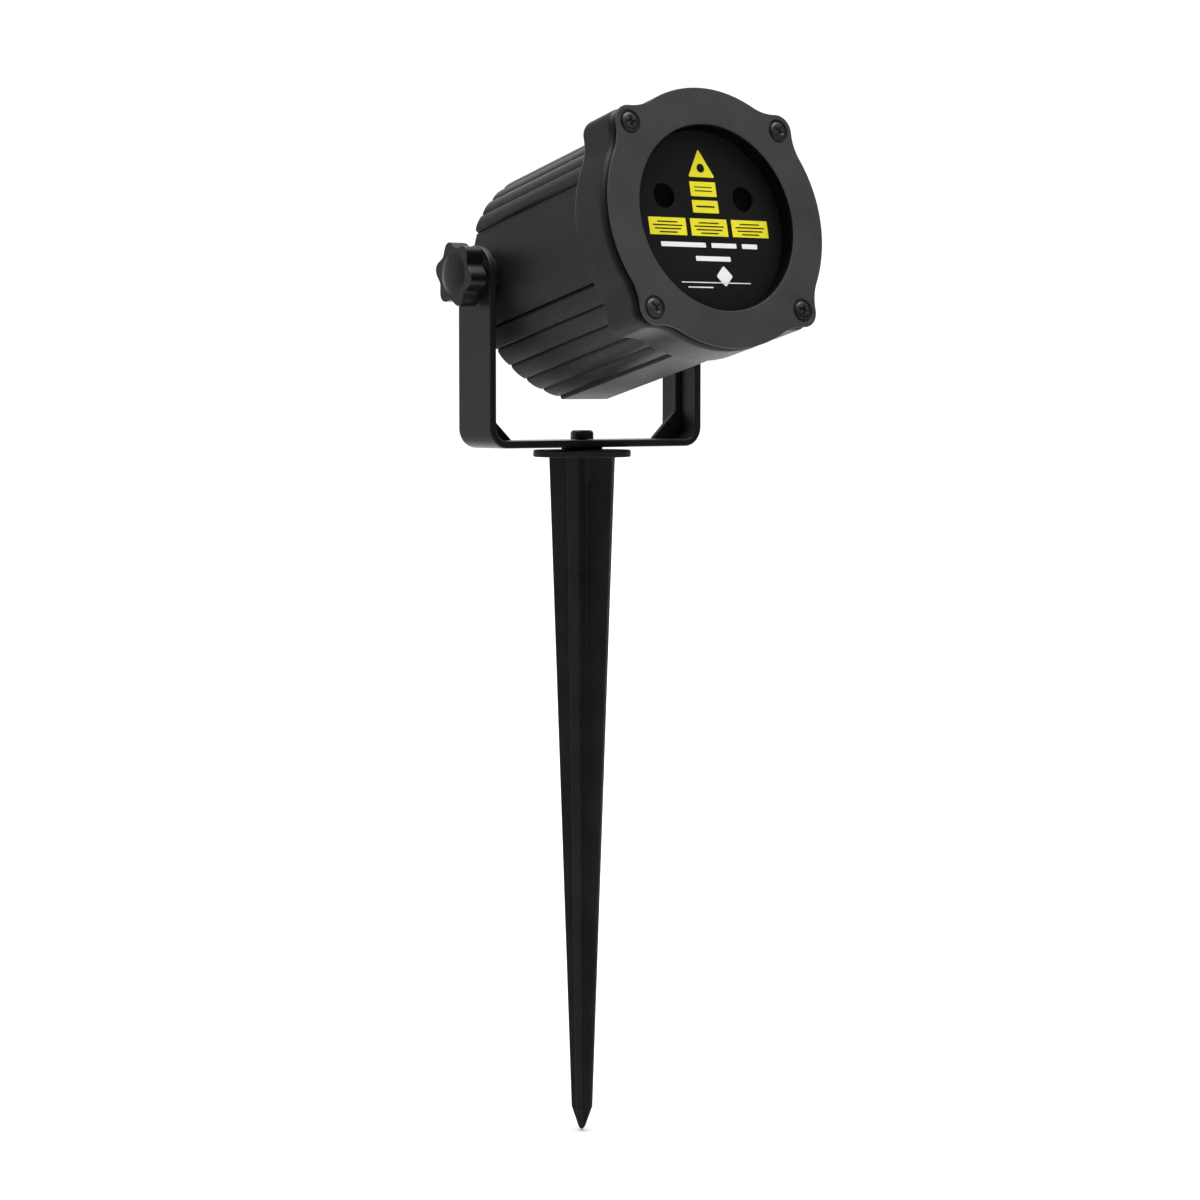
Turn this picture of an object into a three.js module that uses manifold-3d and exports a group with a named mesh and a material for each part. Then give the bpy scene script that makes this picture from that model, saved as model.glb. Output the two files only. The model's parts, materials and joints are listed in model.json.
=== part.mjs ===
// Garden light projector on a ground spike.
//
// Millimetres, +Z up. The origin is on the spike's axis, at the underside of its round disc,
// which is the soil line. The tilt axis of the head runs along X, and the head looks towards -Y.

import * as THREE from 'three';
import { mergeVertices } from 'three/addons/utils/BufferGeometryUtils.js';
import Module from 'manifold-3d';

const wasm = await Module();
wasm.setup();

// ---------------------------------------------------------------- driving dimensions

const GAP = 0.3; // running gap between neighbouring pieces
const FLATNESS = 0.12; // furthest that a flat of a round body lies inside its true circle

// Ground spike
const DISC_RADIUS = 21.5;
const DISC_THICKNESS = 3.1;
const SPIKE_LENGTH = 300;
const POINT_LENGTH = 10; // from the shoulder to the tip
const FIN_TURN = 37; // degrees between a fin and the yoke's bar
const FIN_WIDTH_TOP = 29.2;
const FIN_WIDTH_SHOULDER = 9.1;
const FIN_THICKNESS_TOP = 5.3;
const FIN_THICKNESS_SHOULDER = 3.2;
const TIP_WIDTH = 2.2;
const BOSS_RADIUS = 5.5;
const BOSS_LENGTH = 11.5;

// Pan joint between spike and yoke
const PAN_BOLT_RADIUS = 2.5;
const PAN_HEAD_RADIUS = 5.1;
const PAN_HEAD_HEIGHT = 4;
const PAN_INSERT_RADIUS = 3.7;
const PAN_INSERT_LENGTH = 9;
const PAN_WASHER_RADIUS = 9;

// Yoke
const YOKE_BOTTOM = 4.35; // underside of the bar
const YOKE_WIDTH = 113;
const YOKE_DEPTH = 25;
const STRAP = 3.2; // thickness of the strap
const CORNER_RADIUS = 8.5;
const PIVOT_HEIGHT = 78.3;
const YOKE_RIB = 2.5; // thickness and height of the stiffening rib
const YOKE_RIB_TOP = 60;
const GUSSET_LEG = 12.5;

// Clamping knobs
const STUD_RADIUS = 3;
const STUD_TIP = 43.6; // distance of the stud's tip from the middle plane
const KNOB_FACE = 67; // distance of the star's outer face from the middle plane
const KNOB_THICKNESS = 8.4;
const KNOB_RADIUS = 14.2;
const KNOB_VALLEY_RADIUS = 11.3;
const KNOB_LOBES = 6;
const KNOB_TURN = 41; // degrees that a lobe leans from the top towards the front on the left knob
const NECK_RADIUS = 7.5;
const CAP_RADIUS = 9;
const CAP_RISE = 2.2;
const KNOB_WASHER = 1; // thickness
const FRICTION_DISC = 0.7; // thickness
const FRICTION_DISC_RADIUS = 8.6;

// Head. Stations along its own axis are measured forwards from the tilt axis.
const TILT = 12.7; // degrees that the head looks upwards
const BARREL_RADIUS = 51.7;
const PANEL_RADIUS = 50.2; // smooth side panels and bottoms of the grooves
const PANEL_GROOVE = 0.8; // further depth of the groove along a side panel
const PANEL_HALF_ANGLE = 24.2; // degrees
const PAD_DISTANCE_TOP = 49.2; // flat pads at the top and bottom
const PAD_DISTANCE_BOTTOM = 52.2;
const PAD_HALF_WIDTH = 11.9;
const LOWER_SWELL = 1.3; // how much further the ribs of the lower half stand out
const UPPER_FALL = 1.1; // how much lower the last rib below the top pad lies
const RIBS_PER_QUADRANT = 5;
const GROOVE_SHARE = 0.24; // of the pitch of the ribs
const RIB_CROWN = 0.3; // fall of a rib's rounded top towards its edges
const GROOVE_DEPTH = 1.2; // below the ribs' tops
const WALL = 3.4;
const REAR_RIM = -10.4;
const FLANGE_BACK = 73.4;
const FLANGE_FRONT = 94.4;
const FLANGE_EDGE = 2.7; // radius of its rounded edges
const FACE_RADIUS = 55;
const EAR_CENTRE = 38.5;
const EAR_RADIUS = 7.1;
const EAR_FILLET = 22;
const FACE_STATION = 98.5;
const BEZEL_THICKNESS = 2;
const BEZEL_EDGE = 0.9;
const SCREW_RECESS = 1.1;
const SCREW_WELL_RADIUS = 5;
const WINDOW_RADIUS = 38.9;
const MASK_STATION = 91.2; // front of the black panel
const MASK_THICKNESS = 1.2;
const GLASS_THICKNESS = 2.8;
const SEAL_SECTION = 1.15; // radius
const PANEL_BORE = 44.1; // bore of the flange that takes panel, glass and seal
const SHOULDER_RADIUS = 38.5;
const SHOULDER_STATION = 84;
const APERTURE_RADIUS = 5.3;
const APERTURE_X = 20.5;
const APERTURE_Y = 10.5;
const PIVOT_PAD_RADIUS = 8.8;
const PIVOT_PAD_FACE = 52.1;
const COVER_LEDGE = -4.6;
const COVER_RADIUS = 46.6;
const COVER_THICKNESS = 2.7;
const REAR_SCREW_RADIUS = 42; // distance of the rear screws from the axis
const PILOT_RADIUS = 1.5; // tapped holes for all M3 screws
const CLEARANCE_RADIUS = 2; // holes that the screws pass through
const GLAND_DROP = 15; // gland below the axis
const GLAND_THREAD_RADIUS = 6.1;
const GLAND_ACROSS_FLATS = 16;

// Optics and drive inside the head
const CARRIER_STATION = 57.7; // front face of the carrier plate
const CARRIER_THICKNESS = 2.4;
const CARRIER_RADIUS = 46;
const CARRIER_SCREW_RADIUS = 42.5;
const TOOTH_MODULE = 1;
const WHEEL_TEETH = 30;
const PINION_TEETH = 11;
const GEAR_STATION = 60.2;
const GEAR_WIDTH = 3;
const LASER_RADIUS = 6;
const LASER_BACK = 22;
const SLEEVE_BORE = 5; // radius
const SLEEVE_RADIUS = 7;
const SLEEVE_FRONT = 66;
const MOTOR_RADIUS = 6;
const MOTOR_BACK = 34;
const SHAFT_RADIUS = 1;
const HEATSINK = { halfWidth: 31, low: -3, high: 24, back: 25 };
const BOARD_HEIGHT = -12;
const BOARD_THICKNESS = 1.6;
const BOARD_HALF_WIDTH = 28;

// ---------------------------------------------------------------- materials

function material(color, roughness, metalness = 0) {
  return new THREE.MeshStandardMaterial({ color, roughness, metalness });
}

const castBlack = material(0x343435, 0.5, 0.2);
const bezelBlack = material(0x444445, 0.5, 0.2);
const yokeBlack = material(0x353536, 0.5, 0.2);
const knobBlack = material(0x3a3a3b, 0.45);
const spikeBlack = material(0x1b1b1c, 0.5);
const screwBlack = material(0x161616, 0.35, 0.7);
const panelBlack = material(0x1b1b1c, 0.4);
const sealBlack = material(0x101010, 0.8);
const clearGlass = material(0xb8c4c6, 0.05);
const steel = material(0xa8aaac, 0.35, 0.9);
const aluminium = material(0xb4b6b8, 0.4, 0.9);
const brass = material(0xb8964c, 0.35, 0.9);
const wheelWhite = material(0xdedcd2, 0.5);
const boardGreen = material(0x1f5a34, 0.5);
const partBlack = material(0x202022, 0.5);
const capBlue = material(0x283a66, 0.4);

// ---------------------------------------------------------------- geometry helpers

const rad = THREE.MathUtils.degToRad;

// A closed geometry as a solid that can be joined and cut.
function solid(geometry) {
  const bare = geometry.index ? geometry.toNonIndexed() : geometry.clone();
  bare.deleteAttribute('normal');
  bare.deleteAttribute('uv');
  const merged = mergeVertices(bare, 1e-4);
  const mesh = new wasm.Mesh({
    numProp: 3,
    vertProperties: new Float32Array(merged.attributes.position.array),
    triVerts: new Uint32Array(merged.index.array),
  });
  mesh.merge();
  return new wasm.Manifold(mesh);
}

function geometryOf(body) {
  const mesh = body.getMesh();
  const geometry = new THREE.BufferGeometry();
  geometry.setAttribute('position', new THREE.BufferAttribute(mesh.vertProperties, 3));
  geometry.setIndex(new THREE.BufferAttribute(mesh.triVerts, 1));
  geometry.computeVertexNormals();
  return geometry;
}

// Joins the first solid with the others, or cuts the others from it.
function join(first, ...others) {
  return others.reduce((whole, next) => whole.add(next), first);
}

function cut(first, ...others) {
  return others.reduce((whole, next) => whole.subtract(next), first);
}

function piece(name, shape, look) {
  const geometry = shape instanceof THREE.BufferGeometry ? shape : geometryOf(shape);
  const mesh = new THREE.Mesh(geometry, look);
  mesh.name = name;
  return mesh;
}

// Sides that a circle needs, a multiple of four.
function sides(radius) {
  return 4 * Math.ceil(Math.PI / Math.acos(1 - FLATNESS / radius) / 4);
}

// Round body about Z from [radius, height] pairs that run up the outside.
function turned(profile) {
  const points = profile.map(([radius, height]) => new THREE.Vector2(radius, height));
  const widest = Math.max(...profile.map(([radius]) => radius));
  return new THREE.LatheGeometry(points, sides(widest)).rotateX(Math.PI / 2);
}

function rod(radius, low, high) {
  return turned([[0, low], [radius, low], [radius, high], [0, high]]);
}

function tube(inner, outer, low, high) {
  return turned([[inner, low], [outer, low], [outer, high], [inner, high], [inner, low]]);
}

function box(lowX, highX, lowY, highY, lowZ, highZ) {
  const middle = [(lowX + highX) / 2, (lowY + highY) / 2, (lowZ + highZ) / 2];
  return new THREE.BoxGeometry(highX - lowX, highY - lowY, highZ - lowZ).translate(...middle);
}

// Flat outline pushed from one height to another along Z.
function pushed(outline, low, high) {
  const options = { depth: high - low, bevelEnabled: false, curveSegments: 6 };
  return new THREE.ExtrudeGeometry(outline, options).translate(0, 0, low);
}

function polygon(points) {
  return new THREE.Shape(points.map(([x, y]) => new THREE.Vector2(x, y)));
}

function polar(radius, degrees) {
  return [radius * Math.cos(rad(degrees)), radius * Math.sin(rad(degrees))];
}

// Points along an arc, in degrees from start to end.
function arc([x, y], radius, start, end, steps) {
  return Array.from({ length: steps + 1 }, (_, i) => {
    const [dx, dy] = polar(radius, start + ((end - start) * i) / steps);
    return [x + dx, y + dy];
  });
}

function hexagon(acrossFlats) {
  const corner = acrossFlats / 2 / Math.cos(rad(30));
  return polygon(Array.from({ length: 6 }, (_, i) => polar(corner, 60 * i)));
}

// Cross-recessed screw about Z: the head's underside is at the origin and the shank runs down.
function panScrew(headRadius, headHeight, shankRadius, shankLength) {
  const shoulder = headHeight * 0.45;
  const crown = headRadius * 0.62;
  const profile = [
    [0, -shankLength], [shankRadius, -shankLength], [shankRadius, 0], [headRadius, 0],
    [headRadius, shoulder], [crown, headHeight], [0, headHeight],
  ];
  const slotLength = headRadius * 0.55;
  const slotWidth = headRadius * 0.13;
  const slotFloor = headHeight * 0.4;
  const across = box(-slotLength, slotLength, -slotWidth, slotWidth, slotFloor, headHeight + 1);
  const along = box(-slotWidth, slotWidth, -slotLength, slotLength, slotFloor, headHeight + 1);
  return cut(solid(turned(profile)), solid(across), solid(along));
}

// ---------------------------------------------------------------- ground spike

// One tapered blade of the cross, its broad faces square to Y.
function blade() {
  const shoulder = -SPIKE_LENGTH + POINT_LENGTH;
  const top = DISC_THICKNESS / 2;
  const outline = polygon([
    [FIN_WIDTH_TOP / 2, top], [-FIN_WIDTH_TOP / 2, top], [-FIN_WIDTH_SHOULDER / 2, shoulder],
    [-TIP_WIDTH / 2, -SPIKE_LENGTH + 1], [-TIP_WIDTH / 5, -SPIKE_LENGTH],
    [TIP_WIDTH / 5, -SPIKE_LENGTH], [TIP_WIDTH / 2, -SPIKE_LENGTH + 1], [FIN_WIDTH_SHOULDER / 2, shoulder],
  ]);
  const geometry = pushed(outline, -0.5, 0.5).rotateX(Math.PI / 2);
  const position = geometry.attributes.position;
  for (let i = 0; i < position.count; i += 1) {
    const depth = Math.min(1, (top - position.getZ(i)) / (top - shoulder));
    const thickness = THREE.MathUtils.lerp(FIN_THICKNESS_TOP, FIN_THICKNESS_SHOULDER, depth);
    const pointed = position.getZ(i) < shoulder - 1 ? 0.7 : 1;
    position.setY(i, position.getY(i) * thickness * pointed);
  }
  return geometry;
}

function makeSpike() {
  const first = solid(blade().rotateZ(rad(FIN_TURN)));
  const second = solid(blade().rotateZ(rad(FIN_TURN + 90)));
  const disc = turned([
    [0, 0], [DISC_RADIUS - 0.4, 0], [DISC_RADIUS, 0.4], [DISC_RADIUS, DISC_THICKNESS - 0.5],
    [DISC_RADIUS - 0.5, DISC_THICKNESS], [0, DISC_THICKNESS],
  ]);
  const boss = turned([
    [0, -BOSS_LENGTH], [BOSS_RADIUS - 1.2, -BOSS_LENGTH], [BOSS_RADIUS, -BOSS_LENGTH + 2],
    [BOSS_RADIUS, 1], [0, 1],
  ]);
  const pocketFloor = DISC_THICKNESS - PAN_INSERT_LENGTH - GAP;
  const pocket = rod(PAN_INSERT_RADIUS + GAP, pocketFloor, DISC_THICKNESS + 1);
  const clearance = rod(PAN_BOLT_RADIUS + 0.4, -BOSS_LENGTH + 1.5, 0);
  const whole = join(solid(disc), solid(boss), first, second);
  return piece('spike', cut(whole, solid(pocket), solid(clearance)), spikeBlack);
}

function makePanJoint() {
  const insertTop = DISC_THICKNESS - 0.1;
  const insert = tube(PAN_BOLT_RADIUS + GAP, PAN_INSERT_RADIUS, insertTop - PAN_INSERT_LENGTH, insertTop);
  const washerLow = DISC_THICKNESS + 0.2;
  const washer = tube(PAN_BOLT_RADIUS + GAP, PAN_WASHER_RADIUS, washerLow, YOKE_BOTTOM - 0.2);
  const headLow = YOKE_BOTTOM + STRAP + 0.2;
  const headTop = headLow + PAN_HEAD_HEIGHT;
  const bolt = turned([
    [0, -BOSS_LENGTH + 3], [PAN_BOLT_RADIUS, -BOSS_LENGTH + 3], [PAN_BOLT_RADIUS, headLow],
    [PAN_HEAD_RADIUS, headLow], [PAN_HEAD_RADIUS, headTop - 1.5], [PAN_HEAD_RADIUS - 0.45, headTop - 0.5],
    [PAN_HEAD_RADIUS - 1.5, headTop], [0, headTop],
  ]);
  const keyWidth = 3;
  const keyway = pushed(hexagon(keyWidth), headTop - 2, headTop + 1);
  return [
    piece('pan_insert', insert, brass),
    piece('pan_washer', washer, sealBlack),
    piece('pan_bolt', cut(solid(bolt), solid(keyway)), screwBlack),
  ];
}

// ---------------------------------------------------------------- yoke

// Front outline of the U: outside line down one arm and back up, then the inside line.
function strapOutline() {
  const outer = YOKE_WIDTH / 2;
  const inner = outer - STRAP;
  const top = PIVOT_HEIGHT + YOKE_DEPTH / 2;
  const low = YOKE_BOTTOM;
  const floor = low + STRAP;
  const bend = CORNER_RADIUS - STRAP;
  const shape = new THREE.Shape();
  shape.moveTo(-outer, top);
  shape.lineTo(-outer, low + CORNER_RADIUS);
  shape.absarc(-outer + CORNER_RADIUS, low + CORNER_RADIUS, CORNER_RADIUS, Math.PI, 1.5 * Math.PI);
  shape.lineTo(outer - CORNER_RADIUS, low);
  shape.absarc(outer - CORNER_RADIUS, low + CORNER_RADIUS, CORNER_RADIUS, -0.5 * Math.PI, 0);
  shape.lineTo(outer, top);
  shape.lineTo(inner, top);
  shape.lineTo(inner, floor + bend);
  shape.absarc(inner - bend, floor + bend, bend, 0, -0.5 * Math.PI, true);
  shape.lineTo(-inner + bend, floor);
  shape.absarc(-inner + bend, floor + bend, bend, -0.5 * Math.PI, -Math.PI, true);
  shape.lineTo(-inner, top);
  return shape;
}

// Rib up the inside of one arm, with its gusset in the corner. Side is -1 or 1.
function armRib(side) {
  const root = side * (YOKE_WIDTH / 2 - STRAP / 2);
  const face = side * (YOKE_WIDTH / 2 - STRAP - YOKE_RIB);
  const floor = YOKE_BOTTOM + STRAP;
  const toe = side * (YOKE_WIDTH / 2 - STRAP - GUSSET_LEG - YOKE_RIB);
  const bend = [side * (YOKE_WIDTH / 2 - CORNER_RADIUS), YOKE_BOTTOM + CORNER_RADIUS];
  const corner = arc(bend, CORNER_RADIUS - STRAP / 2, side < 0 ? 180 : 0, side < 0 ? 270 : -90, 3);
  const outline = polygon([
    ...corner, [toe, floor - STRAP / 2], [toe, floor + 0.4],
    [face, floor + GUSSET_LEG], [face, YOKE_RIB_TOP - YOKE_RIB], [root, YOKE_RIB_TOP + STRAP / 2],
  ]);
  return solid(pushed(outline, -YOKE_RIB / 2, YOKE_RIB / 2).rotateX(Math.PI / 2));
}

function makeYoke() {
  const strap = solid(pushed(strapOutline(), -YOKE_DEPTH, YOKE_DEPTH).rotateX(Math.PI / 2));
  const side = new THREE.Shape();
  side.moveTo(-YOKE_DEPTH / 2, 0);
  side.lineTo(YOKE_DEPTH / 2, 0);
  side.lineTo(YOKE_DEPTH / 2, PIVOT_HEIGHT);
  side.absarc(0, PIVOT_HEIGHT, YOKE_DEPTH / 2, 0, Math.PI);
  const profile = pushed(side, -YOKE_WIDTH, YOKE_WIDTH).rotateX(Math.PI / 2).rotateZ(Math.PI / 2);
  const strapWithEnds = strap.intersect(solid(profile));
  const pivotHole = rod(STUD_RADIUS + 0.4, -YOKE_WIDTH, YOKE_WIDTH).rotateY(Math.PI / 2);
  const boltHole = rod(PAN_BOLT_RADIUS + 0.4, 0, YOKE_BOTTOM + 2 * STRAP);
  return piece('yoke', cut(
    join(strapWithEnds, armRib(-1), armRib(1)),
    solid(pivotHole.translate(0, 0, PIVOT_HEIGHT)),
    solid(boltHole),
  ), yokeBlack);
}

// ---------------------------------------------------------------- knobs

// Star outline with rounded lobes: the radius swings smoothly between lobe and valley.
function starOutline() {
  const count = KNOB_LOBES * 6;
  const mean = (KNOB_RADIUS + KNOB_VALLEY_RADIUS) / 2;
  const swing = (KNOB_RADIUS - KNOB_VALLEY_RADIUS) / 2;
  return polygon(Array.from({ length: count }, (_, i) => {
    const turn = (360 * i) / count;
    return polar(mean + swing * Math.cos(rad(turn * KNOB_LOBES)), turn - KNOB_TURN);
  }));
}

// Clamping parts of one side, built along +Z as the outward direction from the middle plane.
function makeClamp(side) {
  const name = side < 0 ? 'left' : 'right';
  const armFace = YOKE_WIDTH / 2;
  const washerLow = armFace + 0.2;
  const washerHigh = washerLow + KNOB_WASHER;
  const neckLow = washerHigh + 0.2;
  const starLow = KNOB_FACE - KNOB_THICKNESS;
  const edge = 0.5;
  const star = new THREE.ExtrudeGeometry(starOutline(), {
    depth: KNOB_THICKNESS - 2 * edge,
    bevelThickness: edge,
    bevelSize: edge,
    bevelOffset: -edge,
    bevelSegments: 1,
  }).translate(0, 0, starLow + edge);
  const neck = rod(NECK_RADIUS, neckLow, starLow + 1);
  const cap = turned([
    [0, KNOB_FACE - 1], [CAP_RADIUS, KNOB_FACE - 1], [CAP_RADIUS, KNOB_FACE + 0.3],
    ...[0.85, 0.6, 0.3].map((s) => [CAP_RADIUS * s, KNOB_FACE + CAP_RISE * Math.sqrt(1 - s * s)]),
    [0, KNOB_FACE + CAP_RISE],
  ]);
  const socketEnd = KNOB_FACE - 1;
  const socket = rod(STUD_RADIUS + GAP, neckLow - 1, socketEnd);
  const knob = cut(join(solid(star), solid(neck), solid(cap)), solid(socket));
  const stud = rod(STUD_RADIUS, STUD_TIP, socketEnd - GAP);
  const washer = tube(STUD_RADIUS + 0.4, NECK_RADIUS + 0.5, washerLow, washerHigh);
  const discLow = PIVOT_PAD_FACE + 0.2;
  const disc = tube(STUD_RADIUS + 0.4, FRICTION_DISC_RADIUS, discLow, discLow + FRICTION_DISC);
  const group = new THREE.Group();
  group.add(
    piece(`${name}_knob`, knob, knobBlack),
    piece(`${name}_stud`, stud, steel),
    piece(`${name}_knob_washer`, washer, steel),
    piece(`${name}_friction_disc`, disc, sealBlack),
  );
  group.rotation.y = side * Math.PI / 2;
  group.position.z = PIVOT_HEIGHT;
  return group;
}

// ---------------------------------------------------------------- head castings
// The head is built with its axis along +Z, its top towards +Y, and the tilt axis at the origin.

// Outline of the front ring: a circle with four rounded ears, joined by concave fillets.
function earOutline(inset = 0) {
  const circle = FACE_RADIUS - inset;
  const ear = EAR_RADIUS - inset;
  const fillet = EAR_FILLET + inset;
  const earDistance = EAR_CENTRE * Math.SQRT2;
  const toCircle = circle + fillet;
  const toEar = ear + fillet;
  const spread = (earDistance ** 2 + toCircle ** 2 - toEar ** 2) / (2 * earDistance * toCircle);
  const turn = THREE.MathUtils.radToDeg(Math.acos(spread));
  const middle = polar(toCircle, turn);
  const lean = THREE.MathUtils.radToDeg(Math.atan2(middle[1], earDistance - middle[0]));
  return polygon([45, 135, 225, 315].flatMap((diagonal) => [
    ...arc([0, 0], circle, diagonal - 90 + turn, diagonal - turn, 8).slice(1, -1),
    ...arc(polar(toCircle, diagonal - turn), fillet, diagonal - turn + 180, diagonal + lean, 2),
    ...arc(polar(earDistance, diagonal), ear, diagonal + lean - 180, diagonal - lean + 180, 4).slice(1, -1),
    ...arc(polar(toCircle, diagonal + turn), fillet, diagonal - lean, diagonal + turn - 180, 2),
  ]));
}

// Ear-shaped slab with one or both of its edges rounded.
function earSlab(low, high, edge, segments) {
  return new THREE.ExtrudeGeometry(earOutline(), {
    depth: high - low - 2 * edge,
    bevelThickness: edge,
    bevelSize: edge,
    bevelOffset: -edge,
    bevelSegments: segments,
  }).translate(0, 0, low + edge);
}

function atEars(make) {
  const signs = [[1, 1], [-1, 1], [-1, -1], [1, -1]];
  return signs.map(([x, y], index) => make(x * EAR_CENTRE, y * EAR_CENTRE, index + 1));
}

// One quarter of the barrel's section, from the middle of a side panel to a flat pad's corner.
// The ribs swell outward by the given amount, which builds up over the first ribs of the reach.
function barrelQuarter(padDistance, swell, reach) {
  const padAngle = 90 - THREE.MathUtils.radToDeg(Math.atan2(PAD_HALF_WIDTH, padDistance));
  const pitch = (padAngle - PANEL_HALF_ANGLE) / (RIBS_PER_QUADRANT + GROOVE_SHARE);
  const groove = pitch * GROOVE_SHARE;
  const rib = pitch - groove;
  const swollen = (radius, angle) => {
    const share = Math.min(1, (angle - PANEL_HALF_ANGLE) / (pitch * reach));
    return [radius + swell * share, angle];
  };
  const quarter = [];
  for (let step = 0; step <= 4; step += 1) {
    quarter.push([PANEL_RADIUS, (PANEL_HALF_ANGLE * step) / 4]);
  }
  for (let k = 0; k <= RIBS_PER_QUADRANT; k += 1) {
    const start = PANEL_HALF_ANGLE + k * pitch;
    const bottom = k === 0 ? PANEL_RADIUS - PANEL_GROOVE : BARREL_RADIUS - GROOVE_DEPTH;
    quarter.push(swollen(bottom, start + groove / 2));
    if (k < RIBS_PER_QUADRANT) {
      quarter.push(swollen(BARREL_RADIUS - RIB_CROWN, start + groove));
      quarter.push(swollen(BARREL_RADIUS, start + groove + rib / 2));
      quarter.push(swollen(BARREL_RADIUS - RIB_CROWN, start + pitch));
    }
  }
  quarter.push([Math.hypot(PAD_HALF_WIDTH, padDistance), padAngle]);
  return quarter.map(([radius, angle]) => polar(radius, angle));
}

// Section of the barrel: smooth side panels, five shallow ribs in each quarter, and flat pads.
function barrelOutline() {
  const upper = barrelQuarter(PAD_DISTANCE_TOP, -UPPER_FALL, RIBS_PER_QUADRANT);
  const lower = barrelQuarter(PAD_DISTANCE_BOTTOM, LOWER_SWELL, 1).slice(1);
  return polygon([
    ...upper,
    ...upper.map(([x, y]) => [-x, y]).reverse(),
    ...lower.map(([x, y]) => [-x, -y]),
    ...lower.map(([x, y]) => [x, -y]).reverse(),
  ]);
}

function makeHousing() {
  const barrel = solid(pushed(barrelOutline(), REAR_RIM, FLANGE_BACK + 6));
  const flange = solid(earSlab(FLANGE_BACK, FLANGE_FRONT, FLANGE_EDGE, 2));
  const bore = PANEL_RADIUS - WALL;
  const cavity = turned([
    [0, REAR_RIM - 1], [COVER_RADIUS + GAP, REAR_RIM - 1], [COVER_RADIUS + GAP, COVER_LEDGE],
    [COVER_RADIUS - 2.6, COVER_LEDGE], [COVER_RADIUS - 2.6, -2], [bore, -2],
    [bore, SHOULDER_STATION - 5], [SHOULDER_RADIUS, SHOULDER_STATION - 3],
    [SHOULDER_RADIUS, SHOULDER_STATION], [PANEL_BORE, SHOULDER_STATION],
    [PANEL_BORE, FLANGE_FRONT + 1], [0, FLANGE_FRONT + 1],
  ]);
  const earHoles = atEars((x, y) => solid(
    rod(PILOT_RADIUS + GAP, SHOULDER_STATION - 2, FLANGE_FRONT + 1).translate(x, y, 0),
  ));
  const bossLength = SHOULDER_STATION - 4 - CARRIER_STATION - GAP;
  const rearPilotEnd = 6;
  const inside = [];
  const holes = [];
  for (let k = 0; k < 4; k += 1) {
    const [carrierX, carrierY] = polar(CARRIER_SCREW_RADIUS, 90 * k);
    const carrierLow = CARRIER_STATION + GAP;
    const carrierBoss = rod(5, carrierLow, carrierLow + bossLength);
    const [rearX, rearY] = polar(REAR_SCREW_RADIUS, 45 + 90 * k);
    const rearBoss = rod(5.5, COVER_LEDGE + 0.5, rearPilotEnd + 2);
    inside.push(solid(carrierBoss.translate(carrierX, carrierY, 0)));
    inside.push(solid(rearBoss.translate(rearX, rearY, 0)));
    const carrierPilot = rod(PILOT_RADIUS, carrierLow - 1, carrierLow + 9);
    const rearPilot = rod(PILOT_RADIUS, COVER_LEDGE - 1, rearPilotEnd);
    holes.push(solid(carrierPilot.translate(carrierX, carrierY, 0)));
    holes.push(solid(rearPilot.translate(rearX, rearY, 0)));
  }
  const pads = [-1, 1].map((side) => solid(
    rod(PIVOT_PAD_RADIUS, PANEL_RADIUS - 2.4, PIVOT_PAD_FACE).rotateY(side * Math.PI / 2),
  ));
  const bosses = [-1, 1].map((side) => solid(
    rod(STUD_RADIUS + 1.7, STUD_TIP - 2.5, PANEL_RADIUS - 1.2).rotateY(side * Math.PI / 2),
  ));
  const studHoles = [-1, 1].map((side) => solid(
    rod(STUD_RADIUS + GAP, STUD_TIP - GAP, PIVOT_PAD_FACE + 1).rotateY(side * Math.PI / 2),
  ));
  const shell = cut(join(barrel, flange, ...pads), solid(cavity));
  const withBosses = join(shell, ...inside, ...bosses);
  return piece('housing', cut(withBosses, ...holes, ...earHoles, ...studHoles), castBlack);
}

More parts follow.
